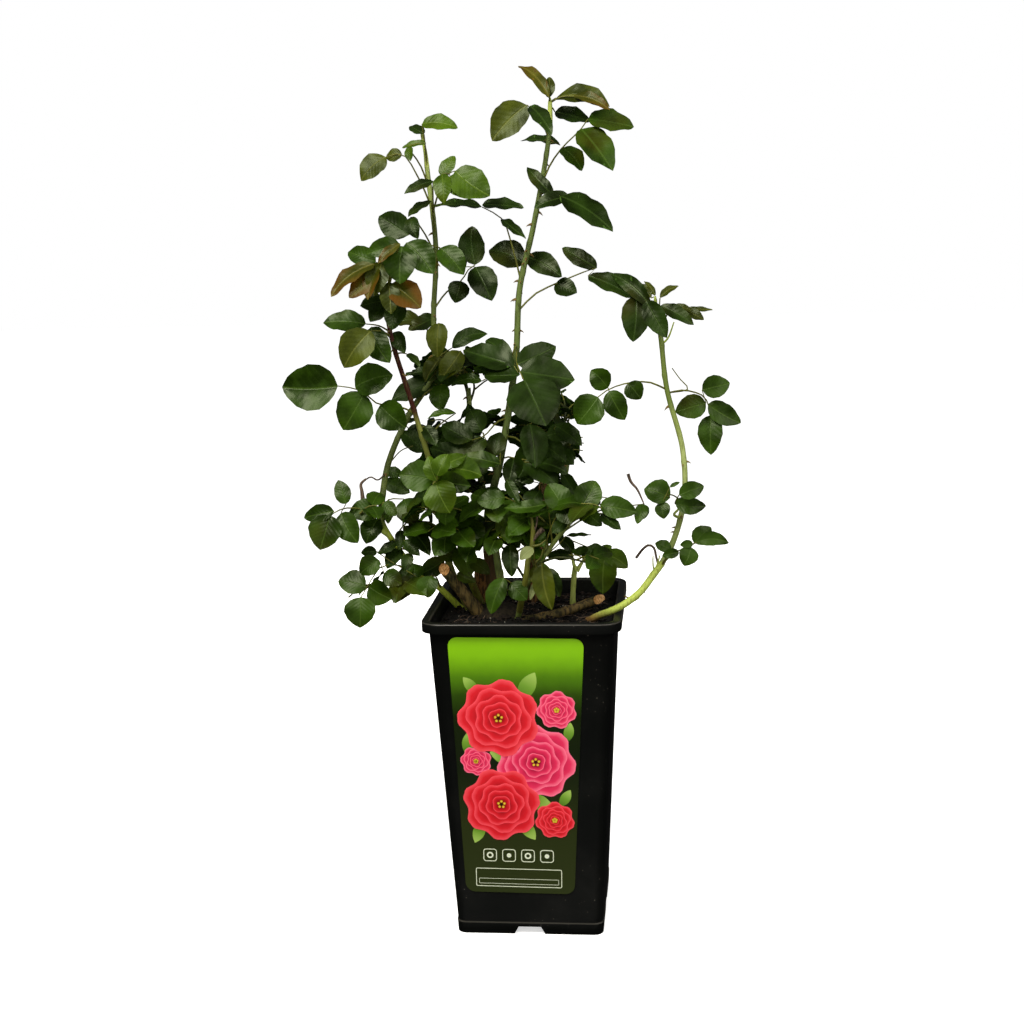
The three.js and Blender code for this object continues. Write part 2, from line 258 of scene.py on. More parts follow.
studio = {
    "floorSide": 16000, "floorStops": [(0.0, "#f2f2f0"), (1.0, "#f4f4f2")], "floorGlow": 0.55,
    "lampColour": "#fffaf0", "skyTop": 0.74, "skySide": 0.28, "skyBelow": 0.06, "mirrorShare": 0.10,
    # soft lamps: size, power, place, height aimed at, and whether gloss mirrors it
    "lamps": {
        "key": (700, 25, (-500, -900, 1650), 450, True),
        "fill": (900, 8, (900, -700, 1300), 450, True),
        "front": (1100, 8, (150, -1600, 330), 240, False),
        "back": (1100, 14, (-500, 1500, 700), 400, False),
    },
}


def makeFloor():
    # matt painted studio floor, so pale that it runs into the white backdrop
    material, tree, shader, place = newMaterial("floor_matt_paint")
    grain = addNode(tree, "TexNoise", inputs={"Scale": 40.0, "Detail": 2.0})
    tone = addNode(tree, "ValToRGB", {"stops": studio["floorStops"]}, {"Fac": grain})
    setInputs(shader, {"Base Color": tone, "Roughness": 0.9, "Specular IOR Level": 0.1,
                       "Emission Color": (1.0, 1.0, 1.0, 1.0), "Emission Strength": studio["floorGlow"]})
    reach = studio["floorSide"] / 2
    corners = np.array([[-reach, -reach, 0], [reach, -reach, 0], [reach, reach, 0], [-reach, reach, 0]])
    floor = bpy.data.objects.new("studio_floor", makeMesh("studio_floor", corners, [[[0, 1, 2, 3]]]))
    floor.data.materials.append(material)
    bpy.context.scene.collection.objects.link(floor)
    floor.visible_glossy = False      # the dark plastic mirrors the dim studio and not the bright floor
    floor.visible_diffuse = False


def makeLights():
    for name, (size, power, place, height, mirrored) in studio["lamps"].items():
        lamp = bpy.data.lights.new(name + "_softbox", "AREA")
        lamp.shape = "DISK"
        lamp.size = size * mm
        lamp.energy = power
        lamp.color = hexColour(studio["lampColour"])[:3]
        light = bpy.data.objects.new(name + "_softbox", lamp)
        light.location = [c * mm for c in place]
        aim = np.array([0, 0, height]) - place
        tilt = math.acos(-aim[2] / np.linalg.norm(aim))
        light.rotation_euler = (tilt, 0, math.atan2(aim[1], aim[0]) - math.pi / 2)
        light.visible_camera = False
        light.visible_glossy = mirrored
        bpy.context.scene.collection.objects.link(light)


def makeWorld():
    # white behind the plant; for the light a bright ceiling over dim walls, and less of it in a mirrored ray
    world = bpy.data.worlds.new("studio")
    bpy.context.scene.world = world
    world.use_nodes = True
    tree = world.node_tree
    tree.nodes.clear()
    heading = addNode(tree, "TexCoord").outputs["Generated"]
    axes = addNode(tree, "SeparateXYZ", inputs={"Vector": heading}).outputs
    upper = addNode(tree, "MapRange", smooth, {"Value": axes["Z"], "From Min": 0.0, "From Max": 0.9,
                                               "To Min": studio["skySide"], "To Max": studio["skyTop"]})
    lower = addNode(tree, "MapRange", smooth, {"Value": axes["Z"], "From Min": -0.35, "From Max": 0.05,
                                               "To Min": studio["skyBelow"] / studio["skySide"],
                                               "To Max": 1.0})
    strength = addNode(tree, "Math", times, {0: upper, 1: lower})
    mirrored = addNode(tree, "Math", times, {0: strength, 1: studio["mirrorShare"]})
    around, dim, behind = (addNode(tree, "Background", inputs={"Color": (1, 1, 1, 1), "Strength": power})
                           for power in (strength, mirrored, 1.0))
    rays = addNode(tree, "LightPath").outputs
    lit = addNode(tree, "MixShader", inputs={0: rays["Is Glossy Ray"], 1: around, 2: dim})
    seen = addNode(tree, "MixShader", inputs={0: rays["Is Camera Ray"], 1: lit, 2: behind})
    addNode(tree, "OutputWorld", inputs={"Surface": seen})


makeCamera()
makeFloor()
makeLights()
makeWorld()
bpy.context.scene.view_settings.view_transform = "Standard"
print("stage: camera, floor and light are set")


def leafMaterial(name, shade, light, vein, gloss, edge=None):
    # waxy rose leaf: a smooth cuticle over sunk veins, glossy in broad patches, with an uneven tinge
    material, tree, shader, place = newMaterial(name)
    skinAt = place["Object"]
    # patches of about 26 mm, wide ones of 60 mm, and cells of 1 mm
    patches = addNode(tree, "TexNoise", inputs={"Vector": skinAt, "Scale": 38.0, "Detail": 3.0})
    wide = addNode(tree, "TexNoise", inputs={"Vector": skinAt, "Scale": 17.0, "Detail": 2.0})
    grain = addNode(tree, "TexNoise", inputs={"Vector": skinAt, "Scale": 900.0, "Detail": 2.0})
    green = addNode(tree, "ValToRGB", {"stops": [(0.36, shade), (0.64, light)]}, {"Fac": patches})
    tinge = addNode(tree, "MapRange", smooth, {"Value": wide, "From Min": 0.54, "From Max": 0.72,
                                               "To Min": 0.0, "To Max": 0.30})
    blade = addNode(tree, "Mix", byColour, {"Factor": tinge, "A": green, "B": hexColour("#443c0c")})
    # side veins: lines of V - 0.8 |U - 0.5|, eight pairs in a leaflet
    axes = addNode(tree, "SeparateXYZ", inputs={"Vector": place["UV"]}).outputs
    centred = addNode(tree, "Math", minus, {0: axes["X"], 1: 0.5})
    side = addNode(tree, "Math", absolute, {0: centred})
    slant = addNode(tree, "Math", timesPlus, {0: side, 1: -0.8, 2: axes["Y"]})
    steps = addNode(tree, "Math", times, {0: slant, 1: 8.0})
    zigzag = addNode(tree, "Math", zigzags, {0: steps, 1: 0.5})
    sideVein = addNode(tree, "MapRange", smooth, {"Value": zigzag, "From Min": 0.0, "From Max": 0.17,
                                                  "To Min": 1.0, "To Max": 0.0})
    midVein = addNode(tree, "MapRange", smooth, {"Value": side, "From Min": 0.006, "From Max": 0.026,
                                                 "To Min": 1.0, "To Max": 0.0})
    veins = addNode(tree, "Math", timesPlus, {0: sideVein, 1: 0.12, 2: midVein})
    faint = addNode(tree, "Math", times, {0: veins, 1: 0.34})
    if edge:
        # this tinge grows from the midrib to the edge and from the stalk to the tip
        reach = addNode(tree, "Math", timesPlus, {0: side, 1: 3.0, 2: axes["Y"]})
        rimmed = addNode(tree, "MapRange", smooth, {"Value": reach, "From Min": 0.5, "From Max": 1.35})
        blade = addNode(tree, "Mix", byColour, {"Factor": rimmed, "A": blade, "B": hexColour(edge)})
    colour = addNode(tree, "Mix", byColour, {"Factor": faint, "A": blade, "B": hexColour(vein)})
    # the skin is quilted: it swells between the side veins and sinks at the midrib
    skin = addNode(tree, "Math", timesPlus, {0: grain, 1: 0.025, 2: zigzag})
    relief = addNode(tree, "Math", timesPlus, {0: midVein, 1: -1.2, 2: skin})
    bump = addNode(tree, "Bump", inputs={"Height": relief, "Strength": 0.45, "Distance": 0.3 * mm})
    wax = addNode(tree, "MapRange", inputs={"Value": patches, "From Min": 0.3, "From Max": 0.7,
                                            "To Min": gloss, "To Max": gloss + 0.14})
    setInputs(shader, {"Base Color": colour, "Normal": bump, "Roughness": wax, "Specular IOR Level": 0.20,
                       "Specular Tint": hexColour("#e6f4cc")})
    return material


def underMaterial(name, shade, light):
    # underside of a leaf: no wax, paler, with a raised midrib
    material, tree, shader, place = newMaterial(name)
    patches = addNode(tree, "TexNoise", inputs={"Vector": place["Object"], "Scale": 60.0, "Detail": 3.0})
    blade = addNode(tree, "ValToRGB", {"stops": [(0.3, shade), (0.75, light)]}, {"Fac": patches})
    axes = addNode(tree, "SeparateXYZ", inputs={"Vector": place["UV"]}).outputs
    centred = addNode(tree, "Math", minus, {0: axes["X"], 1: 0.5})
    side = addNode(tree, "Math", absolute, {0: centred})
    rib = addNode(tree, "MapRange", smooth, {"Value": side, "From Min": 0.006, "From Max": 0.03,
                                             "To Min": 1.0, "To Max": 0.0})
    bump = addNode(tree, "Bump", inputs={"Height": rib, "Strength": 0.6, "Distance": 0.6 * mm})
    setInputs(shader, {"Base Color": blade, "Normal": bump, "Roughness": 0.62, "Specular IOR Level": 0.1})
    return material


def barkMaterial(name, shade, light, streak, roughness, grainSize, upper=None):
    # rind of a cane: lengthwise fibres of grainSize mm under a thin skin, with darker streaks that are strong
    # on rough bark; upper is another colour and the height in mm where it takes over
    material, tree, shader, place = newMaterial(name)
    squeeze = addNode(tree, "Mapping", inputs={"Vector": place["Object"], "Scale": (1.0, 1.0, 0.16)})
    fibres = addNode(tree, "TexNoise", inputs={"Vector": squeeze, "Scale": 1000.0 / grainSize, "Detail": 4.0})
    patches = addNode(tree, "TexNoise", inputs={"Vector": place["Object"], "Scale": 45.0, "Detail": 3.0})
    base = addNode(tree, "ValToRGB", {"stops": [(0.33, shade), (0.68, light)]}, {"Fac": patches})
    if upper:
        axes = addNode(tree, "SeparateXYZ", inputs={"Vector": place["Object"]}).outputs
        above = addNode(tree, "MapRange", smooth, {"Value": axes["Z"], "From Min": (upper[1] - 14) * mm,
                                                   "From Max": (upper[1] + 6) * mm})
        base = addNode(tree, "Mix", byColour, {"Factor": above, "A": base, "B": hexColour(upper[0])})
    low, high, most = (0.44, 0.60, 0.85) if roughness > 0.7 else (0.5, 0.75, 0.7)
    lines = addNode(tree, "MapRange", smooth, {"Value": fibres, "From Min": low, "From Max": high,
                                               "To Min": 0.0, "To Max": most})
    colour = addNode(tree, "Mix", byColour, {"Factor": lines, "A": base, "B": hexColour(streak)})
    deep = grainSize * 0.35 * mm
    bump = addNode(tree, "Bump", inputs={"Height": fibres, "Strength": 0.55, "Distance": deep})
    setInputs(shader, {"Base Color": colour, "Normal": bump, "Roughness": roughness,
                       "Specular IOR Level": 0.25})
    return material


# kinds of leaf: darker and lighter colour of the blade, veins, least roughness, and a tinge at the edge
leafKinds = {
    "deep": ("#0d1702", "#1e3106", "#3a501c", 0.28),
    "mid": ("#142302", "#2b4406", "#4a6222", 0.27),
    "fresh": ("#243803", "#3f5805", "#64782c", 0.27),
    "olive": ("#232a04", "#404808", "#6c6e2c", 0.30),
    "bronze": ("#2a2e03", "#464606", "#6a6226", 0.32, "#4c3004"),
    "wilted": ("#5c6438", "#7c8456", "#8c9268", 0.60),
}
leafPaint = {kind: leafMaterial("waxy_leaf_" + kind, *look) for kind, look in leafKinds.items()}
underPaint = {
    "green": underMaterial("leaf_underside_green", "#2c4613", "#436020"),
    "bronze": underMaterial("leaf_underside_bronze", "#3c3008", "#58480e"),
}
# rinds: finish, darker and lighter colour, streaks, roughness, size of the fibres, upper colour and height
rinds = {
    "green": ("smooth_green_rind", "#50602a", "#747f40", "#404824", 0.46, 1.6),
    "brownFoot": ("brown_footed_rind", "#3c2c16", "#5a4424", "#22180c", 0.60, 1.8, ("#5c6c34", 372)),
    "lime": ("fresh_green_rind", "#90a240", "#b8c468", "#747c3c", 0.44, 1.6),
    "tanFoot": ("tan_footed_rind", "#6c4e2a", "#94703e", "#4c3a1e", 0.50, 1.6, ("#a6b650", 312)),
    "bronze": ("red_brown_rind", "#40160f", "#5c2a18", "#2a1210", 0.44, 1.6),
    "olive": ("brownish_green_rind", "#4c4f1c", "#686a26", "#3c3618", 0.48, 1.6),
    "fading": ("pale_green_rind", "#7c8a46", "#9ca866", "#646c3a", 0.46, 1.6, ("#5c6c2c", 500)),
    "greening": ("darker_green_rind", "#424e20", "#5e6a30", "#383e20", 0.46, 1.6, ("#8e9c54", 675)),
    "limeFoot": ("bright_green_rind", "#9cb034", "#c2d050", "#7c8638", 0.44, 1.6, ("#56662a", 392)),
    "reddened": ("reddened_rind", "#6d7430", "#8d9348", "#5a5a28", 0.46, 1.6, ("#3a1812", 500)),
    "old": ("weathered_bark", "#543a1e", "#7c5a32", "#2a1c10", 0.82, 2.4),
    "stub": ("grey_green_bark", "#3c3a1a", "#7a6238", "#1e1a0c", 0.78, 2.0),
    "knuckle": ("root_crown_bark", "#1c180e", "#30281a", "#120e08", 0.85, 2.4),
    "cut": ("dried_cut_wood", "#d89c58", "#f2c68a", "#a06c38", 0.80, 1.2),
    "twig": ("dull_green_twig_skin", "#2c3216", "#424a20", "#1e2210", 0.50, 1.6),
    "dry": ("dried_twig_skin", "#4a3c30", "#6b5a4a", "#2c241c", 0.85, 1.2),
}
barkPaint = {kind: barkMaterial(*look) for kind, look in rinds.items()}
print("stage: materials of the plant are made")


# Canes and stubs: foot and tip radius, flare at the foot, rind, thorns on each 100 mm, and the route.
canes = {
    "cane_tall": (5.0, 2.2, 2.0, "brownFoot", 6, [(-33, 14, 290), (-39, 12, 383), (-23, 8, 451),
        (-6, 4, 543), (0, 0, 609), (14, -2, 664), (29, -3, 735), (31, -4, 752)]),
    "cane_left_low": (3.2, 2.7, 1.0, "limeFoot", 2, [(-63, 24, 290), (-87, 0, 325), (-106, -15, 345),
        (-132, -30, 391), (-135, -30, 402)]),
    "cane_left_high": (3.1, 2.3, 0.0, "greening", 4, [(-135, -30, 402), (-128, -16, 448), (-109, -2, 492),
        (-86, 10, 531), (-84.5, 20, 588), (-80.5, 22, 648), (-86, 21, 724)]),
    "cane_bronze": (3.9, 2.0, 1.0, "reddened", 3, [(-55, 12, 290), (-75, 2, 345), (-82, -28, 432),
        (-96, -50, 506), (-111, -60, 568), (-116, -62, 606)]),
    "cane_right_low": (3.6, 3.2, 0.5, "tanFoot", 2, [(53, -10, 291), (62, -26, 299), (70, -38, 306),
        (82, -50, 313.6), (94.5, -53, 320.8), (108.5, -47, 330.5), (120, -37, 343.2), (129, -28, 353.5)]),
    "cane_right_high": (2.9, 2.3, 0.0, "fading", 4, [(129, -28, 353.5), (140, -26, 375), (150, -26, 415),
        (149, -24, 460), (135, -20, 516), (130, -15, 562), (128, -13, 574)]),
    "cane_front": (3.0, 2.0, 0.5, "green", 2, [(-11, -18, 290), (5, -42, 340), (27, -46, 374),
        (49, -54, 402)]),
    "cane_old": (6.5, 4.4, 2.0, "old", 2, [(-3, 44, 290), (5, 41, 342), (10, 39, 385), (15, 46, 424)]),
    "cane_low_left": (4.2, 3.2, 1.0, "olive", 2, [(-47, 34, 290), (-63, 22, 335), (-89, 10, 371),
        (-105, 2, 386)]),
    "cane_back_left": (4.6, 2.6, 1.0, "green", 3, [(-31, 66, 290), (-44, 84, 370), (-62, 104, 450),
        (-66, 110, 505)]),
    "cane_back_right": (4.6, 2.6, 1.0, "green", 3, [(1, 66, 290), (7, 82, 335), (21, 98, 385),
        (33, 106, 430), (27, 112, 470)]),
    "shoot_right": (2.8, 2.5, 0.5, "lime", 0, [(40, 30, 290), (42, 30, 320), (44, 29, 338)]),
    "stub_front_left": (7.4, 5.0, 1.5, "stub", 0, [(-39, -8, 290), (-55, -18, 316), (-76, -30, 349)]),
    "stub_right": (4.8, 4.1, 1.0, "stub", 0, [(-3, -22, 296), (29, -16, 302), (67, 12, 309)]),
    "stub_back_left": (7.5, 6.5, 1.5, "old", 0, [(-51, 44, 290), (-50, 38, 318), (-48, 31, 338)]),
}
caneLook = {
    "ringStep": 2.4, "sides": 16, "flareLength": 0.083,
    "nodeGap": 27.0, "nodeSwell": 0.55, "nodeLength": 2.6, "budTurn": 2.4,
    "relief": {"old": 0.10, "stub": 0.12}, "smoothRelief": 0.025, "plates": 0.5,
    "reliefWaves": (9.0, 4.5, 2.2), "plateWaves": (3.0, 1.6), "stretch": 0.35,      # longer along the cane
    "cutRings": 7, "cutLean": (0.75, 0.9),        # how much the saw cut faces along the stub and the viewer
}
caneLines = {}


def caneRadius(name, share):
    # the radius falls from foot to tip, faster at first, with a flare that dies away over the lowest part
    foot, tip, flare = canes[name][:3]
    return foot + (tip - foot) * share ** 0.6 + flare * np.exp(-share / caneLook["flareLength"])


def makeCane(number, name):
    # a tube round the route: the cane's radius times the rind's relief, plus a low ring at each leaf scar
    look = caneLook
    foot, tip, flare, rind, prickly, route = canes[name]
    line = spline(route, look["ringStep"])
    caneLines[name] = line
    rings, sides = len(line), look["sides"]
    share = np.linspace(0, 1, rings)
    travelled = share * look["ringStep"] * (rings - 1)
    turn = np.arange(sides) / sides * 2 * np.pi
    # the ring is fuller on the side where the bud sits: exp(-(distance / nodeLength)^2) along the cane
    beat = travelled / look["nodeGap"] + number * 0.37
    budSide = np.floor(beat) * look["budTurn"]
    near = np.exp(-((beat - np.floor(beat) - 0.5) * look["nodeGap"] / look["nodeLength"]) ** 2)
    bulge = near[:, None] * (0.25 + 0.75 * np.clip(np.cos(turn - budSide[:, None]), 0, 1) ** 3)
    whole = np.ones((rings, sides))
    places = np.stack([travelled[:, None] * look["stretch"] * whole, np.cos(turn) * tip * whole,
                       np.sin(turn) * tip * whole], -1)
    relief = ripples(places, look["reliefWaves"], 40 + number)
    relief = relief * look["relief"].get(rind, look["smoothRelief"])
    radius = caneRadius(name, share)[:, None] * (1 + relief) + bulge * look["nodeSwell"]
    if rind in look["relief"]:
        radius += look["plates"] * np.abs(ripples(places * [0.3, 1, 1], look["plateWaves"], 70 + number))
    vertices, parts = tubes(line[None], radius[None], sides)
    if name.startswith("stub"):
        # the saw cut slants to the front: the last rings slide along the stub to meet its plane
        axis = unit(line[-1] - line[-6])
        cut = unit(axis * look["cutLean"][0] + towards * look["cutLean"][1])
        ring = np.arange(rings * sides) // sides
        reach = np.clip((ring - (rings - 1 - look["cutRings"])) / look["cutRings"], 0, 1)
        skin = vertices[:rings * sides]
        skin -= axis * (((skin - line[-1]) @ cut) / (axis @ cut) * reach ** 2)[:, None]
    mesh = makeMesh("bark_" + name, vertices, parts, materialOf=(0, 1, 1), sharp=70)
    endPaint = barkPaint["cut"] if name.startswith("stub") else barkPaint[rind]
    makePiece("bark_" + name, mesh, [barkPaint[rind], endPaint], [name])


for caneNumber, caneName in enumerate(canes):
    makeCane(caneNumber, caneName)


crownLook = {
    "centre": (-28, -6, 294), "half": (26, 22, 17), "floor": 296.0, "rings": 26, "sides": 40,
    "crags": 0.16, "cragWaves": (22.0, 11.0, 6.0, 3.5),
}


def makeCrown():
    # the knuckle that the canes spring from: a stack of oval rings with craggy bark, flat at the compost
    look = crownLook
    (x, y, z), (wide, deep, high) = look["centre"], look["half"]
    rings, sides = look["rings"], look["sides"]
    lean = np.linspace(0.06, np.pi - 0.06, rings)
    turn = np.arange(sides) / sides * 2 * np.pi
    oval = 1 / np.sqrt((np.cos(turn) / wide) ** 2 + (np.sin(turn) / deep) ** 2)
    height = np.maximum(z - high * np.cos(lean), look["floor"] + lean * 0.2)
    path = np.stack([np.full(rings, float(x)), np.full(rings, float(y)), height], -1)
    swell = np.sin(lean)[:, None]
    places = np.stack([np.cos(turn) * swell * wide, np.sin(turn) * swell * deep,
                       height[:, None] * np.ones(sides)], -1)
    crags = 1 + look["crags"] * ripples(places, look["cragWaves"], 5)
    vertices, parts = tubes(path[None], (swell * oval * crags)[None], sides)
    mesh = makeMesh("bark_root_crown", vertices, parts, sharp=60)
    makePiece("bark_root_crown", mesh, [barkPaint["knuckle"]], ["root_crown"])


makeCrown()
print("stage: canes are grown")

# Soft shoots that carry a cane on to its growing point: its place and depth, foot and tip radius, rind.
youngShoots = {
    "cane_tall": ((550, 97), -6, 3.4, 1.6, "lime"),
    "cane_left_high": ((421, 131), 20, 2.4, 1.2, "lime"),
    "cane_right_high": ((655, 296), -12, 2.3, 1.4, "lime"),
    "cane_bronze": ((383, 262), -66, 2.0, 1.2, "bronze"),
}


def makeShoot(name):
    # a thin tube that leaves the cane straight on and narrows to a rounded point
    (across, down), depth, foot, tip, rind = youngShoots[name]
    line = caneLines[name]
    point = placeSeen(across, down, depth)
    near = line[-1] + unit(line[-1] - line[-4]) * np.linalg.norm(point - line[-1]) * 0.4
    shoot = spline([line[-1] - unit(line[-1] - line[-4]) * 1.5, near, point], 2.0)
    rings = len(shoot)
    radius = foot + (tip - foot) * np.linspace(0, 1, rings) ** 0.8
    radius[-2:] *= [0.75, 0.3]                         # the growing point is rounded off
    vertices, parts = tubes(shoot[None], radius[None], 12)
    mesh = makeMesh("shoot_of_" + name, vertices, parts, sharp=80)
    makePiece("shoot_of_" + name, mesh, [barkPaint[rind]])
    caneLines[name] = np.concatenate([line, shoot[1:]])


prickleLook = {"long": 4.6, "thick": 1.25, "hook": 0.55, "sizes": (0.65, 1.15), "rings": 5, "sides": 6}


def makePrickles():
    # hooked thorns: cones that leave the rind square and bend down, spoke t + down hook t^2
    look = prickleLook
    draw = np.random.default_rng(61)
    starts, spokes, downs, scales = [], [], [], []
    for name, (foot, tip, flare, rind, prickly, route) in canes.items():
        line = caneLines[name]
        along = unit(np.gradient(line, axis=0))
        across = unit(np.cross(along, [0.0, 1.0, 0.0]))
        other = np.cross(along, across)
        count = int(prickly * len(line) * caneLook["ringStep"] / 100)
        if count == 0:
            continue
        rings = np.sort(draw.integers(6, len(line) - 4, count))
        turn = draw.uniform(0, 2 * np.pi, count)[:, None]
        spoke = across[rings] * np.cos(turn) + other[rings] * np.sin(turn)
        radius = caneRadius(name, rings / (len(line) - 1))[:, None]
        starts.append(line[rings] + spoke * (radius - 0.4))
        spokes.append(spoke)
        downs.append(-along[rings])
        scales.append(draw.uniform(*look["sizes"], count))
    start, spoke, down = (np.concatenate(v)[:, None] for v in (starts, spokes, downs))
    scale = np.concatenate(scales)[:, None, None]
    t = np.linspace(0, 1, look["rings"])[None, :, None]
    paths = start + (spoke * t + down * look["hook"] * t ** 2) * look["long"] * scale
    radii = look["thick"] * scale[..., 0] * (1 - t[..., 0]) ** 0.8 + 0.04
    vertices, parts = tubes(paths, radii, look["sides"])
    # horn of a thorn: smooth, tan to red brown, a little glossy
    paint = barkMaterial("thorn_horn", "#5a4a28", "#7a6434", "#3c2a18", 0.42, 1.0)
    makePiece("prickles", makeMesh("prickles", vertices, parts), [paint])


makePrickles()
for caneName in youngShoots:
    makeShoot(caneName)


leaflets = {kind: [] for kind in leafKinds}      # base, tip, facing, breadth and sweep of each leaflet
stalks = []                                      # path and the radius at its two ends
twigs = []
leafLook = {
    "steps": 12,              # rows from stalk to tip
    "baseRound": 0.60, "tipRound": 0.80, "teeth": 0.018,
    "fold": 0.20, "bow": 0.055, "waves": 0.026, "thick": 0.5,
    "stalkFoot": 0.95, "stalkTip": 0.5, "stalkRings": 9, "twigFoot": 1.4, "twigTip": 0.9,
    "joint": 0.14, "sideStalk": (0.45, 0.4),      # how close bases share a joint, and radii of short stalks
    # of a leaf that grows by rule: the stalk's rise, how far the leaf hangs, where along the stalk its pairs
    # leave and at what angle, and the size of the first pair and how much smaller the next one is
    "arch": 0.14, "droop": (0.05, 0.45), "pairs": 2, "firstPair": 0.76, "pairGap": 0.30,
    "pairAngle": (58, 78), "pairSize": 0.88, "shrink": 0.12, "breadth": 0.74, "shortest": 0.8,
}


def bladeArrays(base, tip, facing, breadth, sweep):
    # Leaflets as arrays (leaflets, points, xyz). Across a blade x runs from -1 to 1 times its half breadth,
    # which is t^baseRound (1 - t)^tipRound with teeth. Its height is fold |x| + 4 bow t (1 - t), the edges
    # rise and fall by waves sin(15 t), and 4 sweep t (1 - t) bends it sideways.
    look = leafLook
    count, steps = len(base), look["steps"]
    draw = np.random.default_rng(count)
    length = np.linalg.norm(tip - base, axis=1)
    along = unit(tip - base)
    up = unit(facing - along * (facing * along).sum(1, keepdims=True))
    side = np.cross(along, up)
    even = np.linspace(0, 1, steps + 1)
    t = (0.5 * even + 0.25 * (1 - np.cos(np.pi * even)))[1:-1]
    outline = t ** look["baseRound"] * (1 - t) ** look["tipRound"]
    outline /= outline.max()
    outline = outline * (1 + look["teeth"] * np.where(np.arange(steps - 1) % 2, 1, -1))
    half = (length * breadth / 2)[:, None] * outline[None]
    columns = np.array([-1, -0.52, 0, 0.52, 1])
    x = half[..., None] * columns
    fold = (look["fold"] * draw.uniform(0.35, 1.6, count))[:, None, None]
    bow = (look["bow"] * draw.uniform(0.2, 2.0, count) * length)[:, None, None]
    swing = draw.uniform(0, 6.28, (count, 1, 1))
    place = t[None, :, None]
    z = np.abs(x) * fold + bow * 4 * place * (1 - place)
    z = z + (look["waves"] * length)[:, None, None] * np.sin(15 * place + swing + columns) * columns ** 2
    z = z + 0.035 * half[..., None] * (1 - (2 * np.abs(columns) - 1) ** 2)
    y = length[:, None, None] * place * np.ones_like(x)
    under = np.stack([np.zeros_like(x[..., 2]), y[..., 2], z[..., 2] - look["thick"]], -1)[:, :, None]
    rows = np.concatenate([np.stack([x, y, z], -1), under], axis=2).reshape(count, -1, 3)
    first = np.zeros((count, 1, 3))
    last = np.stack([0 * length, length, 0 * length], -1)[:, None]
    local = np.concatenate([first, rows, last], axis=1)
    scaled = local / length[:, None, None]
    even = scaled[..., 1]
    local[..., 0] += (sweep * length)[:, None] * 4 * even * (1 - even)
    world = (base[:, None] + side[:, None] * local[..., :1] + along[:, None] * local[..., 1:2]
             + up[:, None] * local[..., 2:])
    return world, np.stack([scaled[..., 0] + 0.5, scaled[..., 1]], -1)


def bladeFaces(count):
    # upper quads and end triangles, then those of the underside, which has one row of points under the midrib
    rows = leafLook["steps"] - 1
    point = np.arange(rows * 6).reshape(rows, 6) + 1
    last = rows * 6 + 1
    a, b = point[:-1], point[1:]
    upper = np.stack([a[:, 0:4], a[:, 1:5], b[:, 1:5], b[:, 0:4]], -1).reshape(-1, 4)
    ends = [[0, point[0, j + 1], point[0, j]] for j in range(4)]
    ends += [[point[-1, j], point[-1, j + 1], last] for j in range(4)]
    lower = np.concatenate([np.stack([a[:, 0], b[:, 0], b[:, 5], a[:, 5]], -1),
                            np.stack([a[:, 5], b[:, 5], b[:, 4], a[:, 4]], -1)])
    lowerEnds = [[0, point[0, 0], point[0, 5]], [0, point[0, 5], point[0, 4]],
                 [point[-1, 5], point[-1, 0], last], [point[-1, 4], point[-1, 5], last]]
    start = (np.arange(count) * (last + 1))[:, None, None]
    return [(np.array(f)[None] + start).reshape(-1, len(f[0])) for f in (upper, ends, lower, lowerEnds)]


def addLeaflet(kind, base, tip, facing, breadth, sweep=None):
    # one leaflet for the joined pieces, with its facing shaken a little
    if sweep is None:
        sweep = dice.normal(0, 0.035)
    leaflets[kind].append((base, tip, unit(facing + dice.normal(0, 0.12, 3)), breadth, sweep))


def resampled(line, rings):
    # a path laid out again in a set number of points
    share = np.linspace(0, 1, rings)
    return np.stack([np.interp(share, np.linspace(0, 1, len(line)), line[:, k]) for k in range(3)], 1)


def addStalk(points, foot=leafLook["stalkFoot"], end=leafLook["stalkTip"], store=stalks):
    # a curve through the points, kept with its two radii
    line = spline(points, 1.0)
    rings = leafLook["stalkRings"]
    if len(line) >= rings:
        line = line[np.linspace(0, len(line) - 1, rings).astype(int)]
    else:
        line = resampled(line, rings)
    store.append((line, foot, end))
    return line


def caneAt(name, height):
    # the point of a cane at a height
    line = caneLines[name]
    order = np.argsort(line[:, 2])
    return np.array([np.interp(height, line[order, 2], line[order, k]) for k in range(3)])


def seenPlace(point):
    # where a point shows in the main view
    step = view["sensor"] / view["pixels"] / view["lens"]
    arrow = np.asarray(point) - eye
    deep = -(arrow @ towards) * step
    return np.array([arrow @ viewRight / deep, -(arrow @ viewUp) / deep]) + view["pixels"] / 2


def faceNormal(face, lean):
    # 0 lies flat and 90 faces the main view; lean turns it to the right
    face, lean = math.radians(face), math.radians(lean)
    return np.array([math.sin(lean), -math.sin(face) * math.cos(lean), math.cos(face) * math.cos(lean)])


